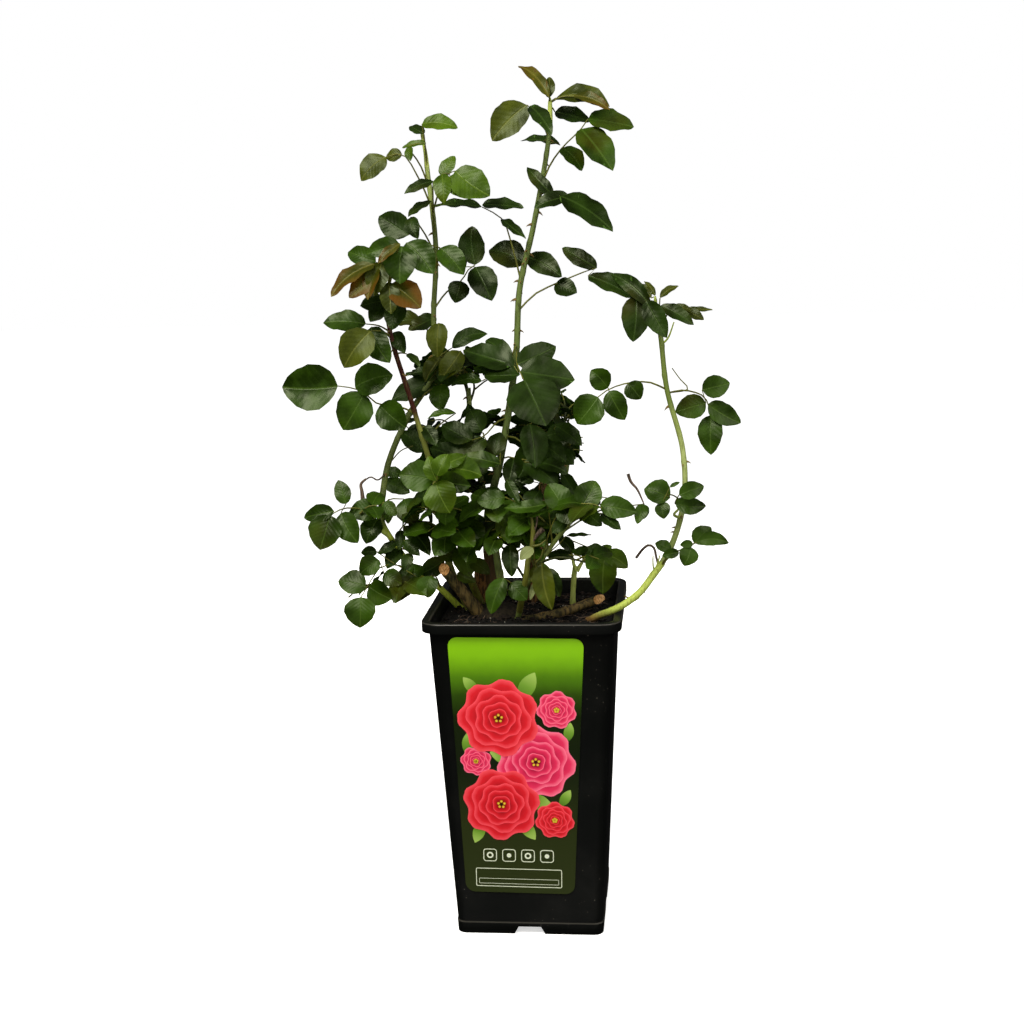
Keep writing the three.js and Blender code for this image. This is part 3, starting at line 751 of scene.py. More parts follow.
def growSeenLeaf(node, depth, face, lean, kind, blades):
    # A leaf whose leaflets show at set places. Each is (base across, base down, tip across, tip down,
    # breadth), and a sixth number is its sideways sweep. The stalk runs from the node past the bases to
    # that of the first, the end leaflet, and bases close to each other share a joint on it.
    node = np.asarray(node, float)
    normal = faceNormal(face, lean)
    start = seenPlace(node)
    reach = max(np.linalg.norm(np.array(blades[0][:2]) - start), 1.0)
    bases = []
    for baseAcross, baseDown, tipAcross, tipDown, breadth, *sweep in blades:
        share = min(np.linalg.norm(np.array([baseAcross, baseDown]) - start) / reach, 1.15)
        base = placeSeen(baseAcross, baseDown, node[1] + (depth - node[1]) * share)
        ray = viewRay(tipAcross, tipDown)
        flat = placeSeen(tipAcross, tipDown, base[1])
        most = 0.9 * np.linalg.norm(flat - base)
        far = eye + ray * ((base - eye) @ normal) / (ray @ normal)
        tip = placeSeen(tipAcross, tipDown, base[1] + np.clip(far[1] - base[1], -most, most))
        addLeaflet(kind, base, tip, normal, breadth, *sweep)
        bases.append((share, base))
    others = sorted(bases[1:], key=lambda pair: pair[0])
    spots = []
    while others:
        group = [b for s, b in others if s - others[0][0] < leafLook["joint"]]
        others = others[len(group):]
        spots.append(np.mean(group, axis=0))
        for base in group:
            if np.linalg.norm(base - spots[-1]) > 1:
                middle = (spots[-1] + base) / 2 + [0, 0, 0.3]
                addStalk([spots[-1], middle, base], *leafLook["sideStalk"])
    end = bases[0][1]
    first = spots[0] if spots else end
    lift = node + (first - node) * 0.45 + [0, 0, 0.10 * np.linalg.norm(first - node)]
    addStalk([node, lift, *[s for s in spots if np.linalg.norm(s - end) > 2], end])


def growLeaf(node, end, normal, kind, size, keep):
    # A leaf by rule: a stalk that arches from the node to its end, one leaflet there and pairs along its
    # outer part. A leaflet that would reach out of the box keep or show in an opening is left out.
    look = leafLook
    lift = (node + end) / 2 + [0, 0, look["arch"] * np.linalg.norm(end - node)]
    line = addStalk([node, lift, end])
    heading = unit(line[-1] - line[-3])
    droop = dice.uniform(*look["droop"])
    blades = [(end, unit(heading - [0, 0, droop]), 1.0)]
    for number in range(look["pairs"]):
        spot = int(round((len(line) - 1) * (look["firstPair"] - look["pairGap"] * number)))
        way = unit(line[min(spot + 1, len(line) - 1)] - line[spot - 1])
        square = unit(np.cross(normal, way))
        for hand in (-1, 1):
            angle = math.radians(dice.uniform(*look["pairAngle"]))
            out = way * math.cos(angle) + square * hand * math.sin(angle) - [0, 0, droop * 0.5]
            blades.append((line[spot] + out * 1.5, unit(out), look["pairSize"] - look["shrink"] * number))
    kept = 0
    for base, out, scale in blades:
        length = size * scale * dice.uniform(0.88, 1.1)
        tip = np.clip(base + out * length, *keep)
        short = np.linalg.norm(tip - base) < look["shortest"] * length
        if short or showsOpen(tip) or showsOpen((base + tip) / 2):
            continue
        addLeaflet(kind, base, tip, normal, look["breadth"] * dice.uniform(0.92, 1.1))
        kept += 1
    if not kept:
        stalks.pop()


# The leaves that make the outline. Each row: height of the node on its cane, depth of the leaf's end (minus
# is nearer), face, lean, kind and leaflets.
outlineLeaves = {
    "cane_tall": [
        (776, -16, 48, -8, "bronze", (549, 97, 518, 66, 0.22)),
        (778, -10, 60, 0, "olive", (549, 98, 549, 77, 0.48)),
        (774, -4, 40, 0, "olive", (556, 98, 610, 107, 0.44, -0.12)),
        (775, -12, 44, 0, "bronze", (574, 96, 610, 110, 0.3, -0.04)),
        (770, 14, 44, 0, "deep", (555, 112, 590, 122, 0.52)),
        (748, -22, 72, -10, "olive", (527, 105, 492, 141, 0.7, 0.05)),
        (745, -30, 40, 0, "deep", (530, 106, 552, 135, 0.36)),
        (738, 18, 22, 0, "deep", (560, 145, 520, 141, 0.34)),
        (702, -8, 52, 12, "mid", (588, 119, 634, 127, 0.66), (581, 129, 613, 171, 0.58),
            (562, 148, 582, 171, 0.66)),
        (694, -14, 62, 0, "deep", (553, 195, 527, 167, 0.36)),
        (686, -18, 52, 0, "deep", (570, 197, 534, 208, 0.5)),
        (690, -20, 50, 14, "deep", (560, 196, 613, 232, 0.5, -0.03)),
        (616, 6, 30, 0, "deep", (482, 207, 434, 206, 0.34), (482, 205, 524, 208, 0.44),
            (502, 219, 526, 239, 0.28)),
        (621, 12, 58, -8, "deep", (525, 264, 489, 250, 0.7), (528, 257, 562, 277, 0.52)),
        (588, 8, 56, 0, "deep", (588, 276, 634, 298, 0.42), (555, 284, 577, 293, 0.84),
            (597, 268, 562, 248, 0.42)),
        (556, -34, 46, -10, "deep", (514, 366, 463, 350, 0.48), (512, 359, 486, 340, 0.44),
            (520, 375, 484, 376, 0.8)),
        (552, -46, 54, 12, "deep", (520, 372, 575, 380, 0.7), (517, 364, 556, 346, 0.58),
            (524, 380, 546, 426, 1.0)),
        (530, 26, 50, -6, "mid", (482, 381, 451, 386, 0.42, 0.12)),
        (488, -22, 60, -8, "deep", (472, 440, 442, 424, 0.66), (482, 432, 470, 410, 0.86),
            (486, 440, 460, 460, 0.66)),
        (462, -26, 56, -6, "deep", (476, 462, 430, 448, 0.52), (488, 462, 462, 478, 0.7),
            (494, 456, 500, 432, 0.74)),
        (452, -40, 52, 0, "mid", (500, 464, 461, 457, 0.46)),
        (500, -14, 60, 8, "deep", (530, 424, 535, 468, 0.62), (540, 416, 560, 404, 0.56)),
        (470, -18, 58, 10, "deep", (546, 436, 580, 432, 0.56), (528, 446, 518, 478, 0.7),
            (538, 440, 566, 462, 0.66)),
        (446, -24, 56, 8, "deep", (524, 462, 558, 486, 0.62), (514, 458, 508, 486, 0.56),
            (534, 462, 568, 474, 0.5)),
    ],
    "cane_left_high": [
        (712, 12, 50, 0, "fresh", (422, 124, 458, 128, 0.5, -0.03)),
        (716, 16, 36, 0, "deep", (424, 134, 410, 126, 0.6)),
        (702, 8, 60, -8, "fresh", (426, 143, 402, 148, 0.3, 0.04), (409, 146, 411, 161, 0.56)),
        (684, 6, 62, -14, "olive", (386, 157, 361, 181, 0.76), (402, 154, 386, 158, 0.84)),
        (676, 4, 42, 0, "deep", (433, 181, 404, 194, 0.36, 0.02)),
        (680, -12, 66, 0, "fresh", (441, 176, 455, 156, 0.62), (442, 174, 444, 204, 0.6),
            (455, 171, 490, 196, 0.8), (450, 176, 466, 198, 0.7)),
        (656, 10, 44, 0, "deep", (431, 201, 408, 217, 0.46)),
        (640, 2, 66, -8, "deep", (409, 235, 379, 216, 0.7), (411, 217, 418, 239, 0.6)),
        (626, -16, 68, 0, "mid", (406, 243, 433, 274, 0.68), (440, 248, 464, 275, 0.66)),
        (590, 24, 66, 6, "deep", (475, 265, 472, 226, 0.64), (466, 267, 440, 252, 0.7),
            (475, 267, 492, 301, 0.74), (461, 281, 455, 303, 0.9)),
        (556, 30, 40, 0, "deep", (436, 316, 408, 330, 0.6), (420, 320, 393, 324, 0.8)),
        (552, 0, 66, 0, "olive", (439, 323, 438, 358, 0.6)),
        (540, 14, 42, 0, "deep", (452, 348, 488, 334, 0.44, -0.1)),
        (528, -14, 68, 8, "olive", (461, 351, 440, 380, 0.66), (441, 357, 425, 382, 0.62)),
        (520, 10, 46, 0, "deep", (436, 373, 409, 375, 0.42)),
        (506, 10, 56, 0, "deep", (437, 384, 391, 401, 0.5, 0.05)),
        (500, -4, 62, 0, "mid", (442, 384, 441, 411, 0.76)),
        (470, 14, 50, 0, "deep", (408, 428, 434, 444, 0.56), (404, 424, 418, 420, 0.5)),
        (436, 4, 50, 0, "mid", (384, 481, 410, 493, 0.56), (384, 472, 404, 476, 0.6)),
    ],
    "cane_bronze": [
        (602, -74, 62, -10, "mid", (376, 262, 348, 252, 0.6)),
        (600, -80, 66, 6, "mid", (399, 243, 366, 254, 0.6), (402, 246, 400, 284, 0.84)),
        (604, -90, 60, 0, "bronze", (400, 244, 378, 264, 0.36)),
        (598, -82, 64, -4, "olive", (382, 262, 374, 296, 0.66), (392, 268, 410, 276, 0.6)),
        (596, -88, 60, 0, "bronze", (374, 264, 331, 297, 0.4, 0.1), (374, 270, 349, 298, 0.6),
            (378, 268, 368, 300, 0.46)),
        (598, -84, 62, 8, "bronze", (391, 284, 421, 308, 0.8)),
        (592, -86, 66, 0, "olive", (389, 282, 391, 314, 0.6)),
        (588, -72, 60, 0, "deep", (386, 300, 360, 306, 0.74), (384, 304, 370, 322, 0.8),
            (400, 304, 392, 330, 0.8)),
        (576, -70, 50, 0, "mid", (366, 324, 323, 323, 0.6)),
        (572, -80, 70, -6, "olive", (371, 331, 344, 368, 0.77)),
        (570, -66, 66, 4, "mid", (371, 327, 390, 363, 0.62)),
        (562, -54, 60, 0, "deep", (394, 332, 405, 353, 0.6)),
        (556, -60, 50, 0, "deep", (407, 354, 420, 367, 0.44)),
        (500, -66, 78, -4, "mid", (338, 386, 282, 387, 0.8), (355, 387, 393, 375, 0.8),
            (364, 393, 343, 430, 0.9), (380, 405, 406, 428, 0.88)),
        (470, -40, 50, 0, "mid", (456, 413, 427, 419, 0.3)),
        (484, -40, 56, 0, "deep", (424, 426, 436, 446, 0.6)),
        (425, -72, 66, 0, "mid", (434, 480, 399, 475, 0.92), (437, 481, 471, 486, 0.62),
            (432, 479, 448, 466, 0.5)),
        (424, -76, 68, 0, "fresh", (436, 482, 450, 513, 1.0), (437, 481, 429, 456, 0.62),
            (437, 476, 448, 454, 0.8)),
        (446, -20, 56, -6, "deep", (425, 452, 401, 431, 0.58)),
        (418, -58, 56, 8, "fresh", (446, 470, 482, 476, 0.8), (442, 466, 466, 456, 0.56)),
    ],
    "cane_right_high": [
        (566, -22, 58, -10, "deep", (650, 305, 611, 274, 0.3)),
        (562, -12, 74, 0, "deep", (636, 296, 633, 342, 0.62)),
        (560, -30, 68, 0, "deep", (646, 301, 667, 338, 0.5)),
        (566, -6, 56, 0, "deep", (660, 306, 694, 325, 0.38)),
        (573, 4, 50, 0, "olive", (651, 298, 637, 283, 0.36), (655, 296, 644, 281, 0.3)),
        (574, -20, 52, 0, "olive", (660, 298, 679, 286, 0.36, -0.08)),
        (568, 14, 56, 0, "olive", (686, 309, 704, 320, 0.52), (686, 309, 713, 310, 0.22),
            (674, 306, 692, 310, 0.44)),
        (515, -52, 78, 0, "mid", (598, 397, 577, 424, 0.96), (608, 388, 591, 370, 0.92),
            (609, 391, 625, 420, 0.72), (628, 383, 641, 399, 1.0)),
        (512, 8, 74, 8, "mid", (711, 415, 711, 455, 0.62), (708, 404, 741, 423, 0.6),
            (706, 403, 675, 412, 0.76), (702, 390, 730, 383, 0.8)),
        (408, -52, 66, -4, "mid", (670, 498, 644, 489, 0.94), (663, 502, 664, 519, 0.9),
            (670, 487, 680, 482, 0.4)),
        (402, -56, 60, 6, "mid", (679, 495, 704, 486, 0.66), (675, 503, 706, 506, 0.6)),
    ],
    "cane_right_low": [
        (352, -44, 62, 0, "mid", (671, 549, 655, 543, 0.76), (679, 552, 662, 556, 0.6)),
        (350, -34, 66, 4, "mid", (697, 542, 729, 543, 0.46, -0.1), (694, 543, 711, 527, 0.82),
            (691, 547, 684, 566, 0.96), (693, 544, 680, 545, 0.66)),
    ],
    "cane_left_low": [
        (399, -58, 68, -6, "mid", (334, 511, 304, 518, 0.58), (330, 515, 320, 550, 0.94),
            (346, 504, 338, 480, 0.64), (341, 513, 358, 543, 0.7)),
        (396, -42, 60, 0, "mid", (378, 510, 349, 512, 0.8), (378, 519, 366, 544, 0.8),
            (384, 502, 396, 516, 0.7)),
        (392, -24, 60, 0, "mid", (404, 499, 416, 525, 0.84), (388, 500, 388, 524, 0.5)),
        (372, -34, 54, 0, "deep", (404, 526, 430, 556, 0.42), (408, 521, 442, 537, 0.34),
            (400, 530, 400, 550, 0.5)),
        (368, -44, 58, 0, "deep", (404, 540, 420, 556, 0.5), (397, 542, 378, 554, 0.5),
            (402, 550, 387, 569, 0.7), (410, 553, 404, 572, 0.6)),
        (338, -64, 70, -4, "mid", (361, 597, 360, 628, 1.04), (366, 587, 338, 581, 0.88),
            (369, 586, 392, 599, 0.98), (379, 560, 360, 574, 0.92), (384, 573, 402, 584, 0.88)),
        (330, -38, 66, 0, "deep", (417, 577, 393, 603, 0.56), (377, 552, 361, 553, 0.7)),
        (322, -50, 66, 0, "mid", (431, 576, 428, 598, 0.96)),
    ],
    "cane_front": [
        (398, -62, 60, 0, "mid", (581, 507, 596, 481, 0.92), (566, 511, 548, 484, 0.8),
            (600, 505, 637, 512, 0.62), (580, 508, 602, 526, 0.62)),
        (396, -64, 50, 0, "deep", (562, 507, 572, 524, 0.95), (601, 514, 621, 530, 0.52)),
        (388, -56, 52, 0, "mid", (644, 504, 637, 524, 0.56), (644, 504, 644, 519, 0.5)),
        (376, -58, 50, 0, "mid", (547, 504, 504, 508, 0.36, -0.09), (548, 508, 526, 517, 0.42)),
        (384, -52, 56, 0, "mid", (505, 497, 477, 502, 0.74)),
        (372, -50, 50, 0, "deep", (507, 480, 519, 503, 0.4)),
        (360, -60, 50, 0, "deep", (566, 522, 552, 533, 0.7), (560, 512, 578, 518, 0.56)),
        (334, -44, 44, 0, "deep", (566, 536, 592, 535, 0.22), (563, 540, 546, 528, 0.5)),
        (334, -58, 72, 0, "olive", (542, 563, 552, 610, 0.46, 0.05), (538, 565, 531, 582, 0.5)),
        (334, -50, 72, 10, "deep", (548, 568, 560, 597, 0.5)),
        (326, -62, 70, -6, "mid", (504, 578, 491, 614, 0.54), (511, 583, 527, 600, 0.84)),
        (340, -72, 60, 0, "wilted", (533, 548, 520, 560, 0.66), (536, 582, 530, 600, 0.34)),
        (352, -40, 62, 0, "deep", (510, 544, 512, 577, 0.52), (520, 536, 540, 548, 0.56)),
    ],
    "shoot_right": [
        (334, 10, 70, 2, "fresh", (605, 556, 603, 594, 0.74), (604, 554, 628, 568, 0.7),
            (600, 552, 612, 546, 0.7)),
        (332, 20, 56, 0, "deep", (607, 555, 577, 552, 0.5), (574, 556, 546, 556, 0.46),
            (560, 538, 574, 553, 0.6)),
    ],
    "cane_low_left": [
        (380, -20, 60, 0, "mid", (444, 560, 420, 574, 0.72), (458, 558, 436, 546, 0.76),
            (460, 546, 470, 577, 0.72)),
        (376, -36, 58, 0, "mid", (466, 521, 480, 551, 0.84), (446, 528, 468, 545, 0.66),
            (450, 520, 430, 506, 0.6)),
        (366, -20, 50, 0, "olive", (420, 522, 444, 536, 0.34)),
        (350, -34, 60, 0, "deep", (457, 574, 476, 582, 0.6), (470, 560, 490, 574, 0.6)),
    ],
    "cane_old": [
        (356, -20, 62, 0, "mid", (508, 518, 490, 532, 0.7), (500, 530, 520, 548, 0.7),
            (484, 540, 470, 552, 0.6)),
        (420, -20, 56, 0, "deep", (556, 426, 582, 446, 0.56), (548, 446, 576, 459, 0.66),
            (544, 448, 548, 482, 0.62)),
        (412, -6, 50, 0, "deep", (552, 452, 574, 465, 0.76), (562, 473, 580, 501, 0.36),
            (530, 470, 506, 492, 0.6)),
        (396, -14, 54, 0, "deep", (540, 490, 522, 512, 0.66), (548, 486, 562, 510, 0.6),
            (534, 482, 514, 476, 0.6)),
    ],
}
for caneName, rows in outlineLeaves.items():
    for height, depth, face, lean, kind, *blades in rows:
        growSeenLeaf(caneAt(caneName, height), depth, face, lean, kind, blades)


# The inside and the back, by rule. For each mass: how many twigs grow into it, leaves on each twig, length
# of the leaflets, kind of leaf, and how far in degrees they face outwards.
massLook = {
    "spray_centre_left": (1, 2, 34, "deep", 45),
    "spray_dark_left": (3, 4, 46, "deep", 52),
    "spray_dark_right": (3, 4, 46, "deep", 52),
    "spray_middle_low": (2, 4, 38, "mid", 50),
    "spray_centre_low": (3, 4, 38, "mid", 50),
    "spray_right_band": (1, 2, 32, "mid", 40),
    "spray_right_low": (1, 2, 28, "mid", 45),
    "spray_bottom_left": (1, 2, 26, "mid", 45),
    "spray_low_left": (1, 1, 28, "mid", 45),
    "spray_back_left_top": (3, 4, 46, "mid", 40),
    "spray_back_left_low": (3, 4, 46, "deep", 40),
    "spray_back_right_top": (3, 4, 44, "mid", 40),
    "spray_back_right_low": (3, 4, 46, "deep", 40),
}


# Openings in the crown, as places and radii in the main view: no leaf that grows by rule ends in one.
openings = np.array([
    (612, 404, 45), (624, 445, 41), (614, 478, 36), (628, 484, 24), (484, 388, 13), (462, 398, 16),
    (430, 404, 13), (446, 420, 15), (475, 560, 7), (503, 563, 7), (524, 487, 5), (497, 489, 6),
    (513, 500, 7), (565, 562, 14), (388, 452, 20), (574, 544, 6), (600, 532, 9), (622, 536, 14),
    (648, 578, 26), (484, 562, 7), (420, 514, 6), (604, 358, 40), (560, 320, 40), (480, 318, 20),
    (412, 350, 10), (432, 350, 5), (392, 350, 4), (574, 570, 10), (520, 568, 9), (448, 548, 5),
    (357, 489, 12), (330, 495, 10), (322, 492, 12), (476, 384, 14), (434, 426, 8), (371, 488, 9),
    (424, 536, 8), (437, 520, 7), (486, 402, 11),
])


def showsOpen(point):
    # whether a point shows in one of the openings
    across, down = seenPlace(point)
    return bool((np.hypot(across - openings[:, 0], down - openings[:, 1]) < openings[:, 2]).any())


massRule = {
    "reach": 0.45, "below": 30, "rise": 6,        # where a twig ends in the box, leaves its cane and bends
    "firstLeaf": 0.4, "turn": 2.4, "twigTurn": 1.3, "axis": (-15, 25, 0), "away": 0.5,
    "stalk": (0.7, 1.1), "sizes": (0.85, 1.12), "tilt": 18, "inset": 9, "over": 3,
}


def growMass(name, twigCount, leafCount, size, kind, face):
    # twigs from the nearest cane into the mass's box, and leaves that spiral round the outer part of each
    rule = massRule
    low, high = (np.array(corner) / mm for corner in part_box(name))
    middle, half = (low + high) / 2, (high - low) / 2
    for number in range(twigCount):
        target = middle + half * dice.uniform(-rule["reach"], rule["reach"], 3)
        goal = target - [0, 0, rule["below"]]
        # stubs and the low cane on the right carry none
        near = {cane: np.linalg.norm(line - goal, axis=1).min() for cane, line in caneLines.items()
                if not cane.startswith("stub") and cane != "cane_right_low"}
        line = caneLines[min(near, key=near.get)]
        node = line[np.linalg.norm(line - goal, axis=1).argmin()]
        bend = (node + target) / 2 + [0, 0, rule["rise"]] + dice.normal(0, 3, 3)
        twig = addStalk([node, bend, target], leafLook["twigFoot"], leafLook["twigTip"], twigs)
        for leaf in range(leafCount):
            share = rule["firstLeaf"] + (1 - rule["firstLeaf"]) * (leaf + 1) / leafCount
            spot = twig[int(round((len(twig) - 1) * share))]
            turn = leaf * rule["turn"] + number * rule["twigTurn"] + dice.uniform(-0.4, 0.4)
            outward = unit(spot * [1, 1, 0] - rule["axis"]) * rule["away"]
            heading = unit(np.array([math.cos(turn), math.sin(turn), 0.2]) + outward)
            end = spot + heading * dice.uniform(*rule["stalk"]) * size
            end = np.clip(end, low + rule["inset"], high - rule["inset"])
            tilt = math.radians(face + dice.uniform(-rule["tilt"], rule["tilt"]))
            level = unit(heading * [1, 1, 0])
            normal = level * math.sin(tilt) * 0.6 + outward * math.sin(tilt) + [0, 0, math.cos(tilt)]
            leafSize = size * dice.uniform(*rule["sizes"])
            growLeaf(spot, end, unit(normal), kind, leafSize, (low - rule["over"], high + rule["over"]))


dice = np.random.default_rng(27)
for massName, settings in massLook.items():
    growMass(massName, *settings)
leafletCount = sum(map(len, leaflets.values()))
print("stage:", leafletCount, "leaflets on", len(stalks), "stalks and", len(twigs), "twigs")


# the masses that the leaves of each kind take the place of
replacedBy = {
    "deep": "far_left tall_right tall_shoulder centre_top dark_left dark_right middle_low "
            "centre_low centre_left back_left_low back_right_low right_inner",
    "mid": "right_outer low_left bottom_left right_lower right_middle tall_left tall_middle "
           "left_upper left_middle bronze_low right_band back_left_top back_right_top right_tip",
    "fresh": "left_tip front_left right_low",
    "olive": "tall_tip front_low",
    "bronze": "bronze_top",
    "wilted": "",
}
for kind, rows in leaflets.items():
    points, uvs = bladeArrays(*(np.array([row[k] for row in rows]) for k in range(5)))
    upper, upperEnds, lower, lowerEnds = bladeFaces(len(rows))
    mesh = makeMesh("leaves_" + kind, points.reshape(-1, 3), [upper, upperEnds, lower, lowerEnds],
                    uvs.reshape(-1, 2), (0, 0, 1, 1), 60)
    under = underPaint["bronze" if kind == "bronze" else "green"]
    makePiece("leaves_" + kind, mesh, [leafPaint[kind], under],
              ["spray_" + word for word in replacedBy[kind].split()])


def makeStalks(name, rows, sides, paint):
    # straight taper from foot to end along each path
    paths = np.array([row[0] for row in rows])
    share = np.linspace(0, 1, paths.shape[1])[None]
    foot, end = (np.array([row[k] for row in rows])[:, None] for k in (1, 2))
    vertices, parts = tubes(paths, foot + (end - foot) * share, sides)
    makePiece(name, makeMesh(name, vertices, parts, sharp=70), [paint])


# Dead and cut side shoots: the cane and height that each leaves, or None; depth, places, radii and rind.
bareBits = [
    (None, 0, -68, [(644, 504), (637, 489), (631, 482), (628, 474)], 0.6, 1.5, "dry"),
    ("cane_right_low", 350, -28, [(656, 556), (654, 548), (649, 545), (643, 549), (636, 558)],
     1.0, 1.3, "dry"),
    ("cane_right_low", 346, -30, [(658, 562), (660, 555)], 1.4, 0.5, "lime"),
    ("cane_right_low", 346, -16, [(653, 564), (653, 556)], 1.2, 0.5, "lime"),
    ("cane_right_high", 396, -40, [(674, 514), (679, 508), (676, 501)], 1.6, 0.8, "lime"),
    ("cane_right_high", 512, 6, [(688, 388), (680, 379), (672, 368)], 0.8, 0.45, "olive"),
    ("cane_right_high", 556, -14, [(668, 338), (674, 322)], 1.0, 0.6, "lime"),
    ("cane_left_high", 440, -36, [(377, 480), (371, 477), (365, 480)], 0.8, 0.7, "dry"),
    (None, 0, -36, [(366, 479), (361, 484), (362, 492), (363, 501)], 1.0, 2.2, "dry"),
    ("cane_left_low", 382, -34, [(378, 527), (373, 517)], 2.7, 2.3, "lime"),
    ("cane_front", 308, -60, [(526, 577), (528, 560), (532, 547), (533, 530)], 3.2, 2.3, "olive"),
    (None, 0, -60, [(533, 533), (532, 521), (530, 510)], 2.0, 0.9, "olive"),
    (None, 0, -59, [(534, 532), (537, 521), (536, 510)], 1.2, 0.6, "dry"),
    (None, 0, -61, [(533, 541), (538, 534), (543, 529)], 1.1, 2.6, "dry"),
    (None, 0, -61, [(533, 546), (539, 545), (546, 540)], 1.3, 0.6, "olive"),
    (None, 0, -61, [(536, 562), (541, 557), (543, 549)], 1.0, 0.5, "olive"),
    (None, 0, 24, [(577, 571), (574, 565), (572, 558)], 2.4, 1.0, "lime"),
    (None, 0, 24, [(577, 571), (581, 564), (586, 556)], 2.4, 1.0, "lime"),
    ("cane_left_high", 447, -24, [(402, 450), (413, 446)], 0.6, 0.5, "olive"),
]


def makeBareBits():
    # one piece for each rind
    for rind in ("dry", "lime", "olive"):
        rows = []
        for name, height, depth, places, foot, tip, kind in bareBits:
            if kind == rind:
                path = [placeSeen(*place, depth) for place in places]
                path = path if name is None else [caneAt(name, height)] + path
                rows.append((resampled(spline(path, 1.0), 14), foot, tip))
        makeStalks("bare_bits_" + rind, rows, 8, barkPaint[rind])


makeBareBits()
makeStalks("leaf_stalks", stalks, 6, barkPaint["olive"])
makeStalks("twigs", twigs, 8, barkPaint["twig"])
print("stage: leaves are joined")


potLook = {
    "height": 312.0, "footWidth": 139.0, "neckWidth": 172.4, "soilLevel": 297.0, "edge": 0.9,
    "rimLine": (311.2, 0.5), "seamLine": (11.5, 0.6),      # height and half breadth of the lighter lines: a painted highlight on the rim's edge, a grey line at the seam
}
wallLean = math.atan2((potLook["neckWidth"] - potLook["footWidth"]) / 2, potLook["height"])


def bodyWidth(height):
    # outer width of the pot's wall at a height
    return potLook["footWidth"] + (potLook["neckWidth"] - potLook["footWidth"]) * height / potLook["height"]


def potMaterial():
    # injection-moulded black polypropylene: a satin skin with a fine grain, faint flow lines, dry dust and a
    # painted highlight along the rim's edge
    material, tree, shader, place = newMaterial("moulded_black_polypropylene")
    skinAt = place["Object"]
    broad = addNode(tree, "TexNoise", inputs={"Vector": skinAt, "Scale": 14.0, "Detail": 5.0,
                                              "Roughness": 0.6})
    # specks of dust about 5 mm apart
    specks = addNode(tree, "TexVoronoi", inputs={"Vector": skinAt, "Scale": 210.0, "Randomness": 1.0})
    grains = addNode(tree, "MapRange", smooth, {"Value": specks, "From Min": 0.05, "From Max": 0.13,
                                                "To Min": 1.0, "To Max": 0.0})
    where = addNode(tree, "MapRange", smooth, {"Value": broad, "From Min": 0.50, "From Max": 0.66,
                                               "To Min": 0.0, "To Max": 0.55})
    dust = addNode(tree, "Math", times, {0: grains, 1: where})
    film = addNode(tree, "MapRange", smooth, {"Value": broad, "From Min": 0.45, "From Max": 0.8,
                                              "To Min": 0.0, "To Max": 0.012})
    both = addNode(tree, "Math", larger, {0: dust, 1: film})
    # the rim's edge gets a painted highlight, a thin grey line; the seam of the foot band gets a thin grey
    # line too
    height = addNode(tree, "SeparateXYZ", inputs={"Vector": skinAt}).outputs["Z"]
    rim, seam = (addNode(tree, "Math", equals, {0: height, 1: level * mm, 2: half * mm})
                 for level, half in (potLook["rimLine"], potLook["seamLine"]))
    rimHighlightAndSeam = addNode(tree, "Math", larger, {0: rim, 1: seam})
    edge = addNode(tree, "Math", times, {0: rimHighlightAndSeam, 1: 0.13})
    # the grey mix holds real dust, the rim's painted highlight line and the seam line
    dustHighlightAndSeam = addNode(tree, "Math", larger, {0: both, 1: edge})
    colour = addNode(tree, "Mix", byColour, {"Factor": dustHighlightAndSeam, "A": hexColour("#0b0c0b"),
                                             "B": hexColour("#8a8578")})
    # the moulded grain has cells of about 0.7 mm
    grain = addNode(tree, "TexNoise", inputs={"Vector": skinAt, "Scale": 1400.0, "Detail": 2.0})
    stretch = addNode(tree, "Mapping", inputs={"Vector": skinAt, "Scale": (1.0, 1.0, 0.05)})
    flow = addNode(tree, "TexNoise", inputs={"Vector": stretch, "Scale": 90.0, "Detail": 3.0})
    relief = addNode(tree, "Math", timesPlus, {0: flow, 1: 0.8, 2: grain})
    bump = addNode(tree, "Bump", inputs={"Height": relief, "Strength": 0.35, "Distance": 0.18 * mm})
    satin = addNode(tree, "MapRange", inputs={"Value": broad, "From Min": 0.3, "From Max": 0.75,
                                              "To Min": 0.30, "To Max": 0.46})
    setInputs(shader, {"Base Color": colour, "Normal": bump, "Roughness": satin, "Specular IOR Level": 0.3})
    return material


def makePot():
    # the CAD pot's own shape, merged and with softly moulded edges
    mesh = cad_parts["pot"].data.copy()
    mesh.name = "moulded_pot"
    mesh.materials.clear()
    piece = makePiece("moulded_pot", mesh, [potMaterial()], ["pot"])
    weld = piece.modifiers.new("weld", "WELD")
    weld.merge_threshold = 0.01 * mm
    bevel = piece.modifiers.new("soft_edges", "BEVEL")
    bevel.width = potLook["edge"] * mm
    bevel.segments = 2
    bevel.limit_method = "ANGLE"
    bevel.angle_limit = math.radians(40)
    mesh.polygons.foreach_set("use_smooth", np.ones(len(mesh.polygons), bool))


makePot()


compostLook = {
    "half": 81.7, "corner": 10.0, "rows": 90,
    "mound": (-24, 12, 46, 50, 3.2),          # place, widths and height of the rise at the root crown
    "reliefWaves": (30, 17, 9, 5, 3.4), "relief": 1.5,
    "fibres": 170, "fibreLength": (4, 17), "fibreRadius": (0.18, 0.42),
}
# what lies on the bed: how many, least and most size, darker and lighter colour
litter = {
    "compost_crumbs": (900, 0.9, 3.2, "#080706", "#201b16"),
    "compost_bark_chips": (70, 2.2, 4.8, "#120d09", "#2e231a"),
    "compost_pale_flecks": (90, 0.5, 1.3, "#7a7668", "#c0bcae"),
}


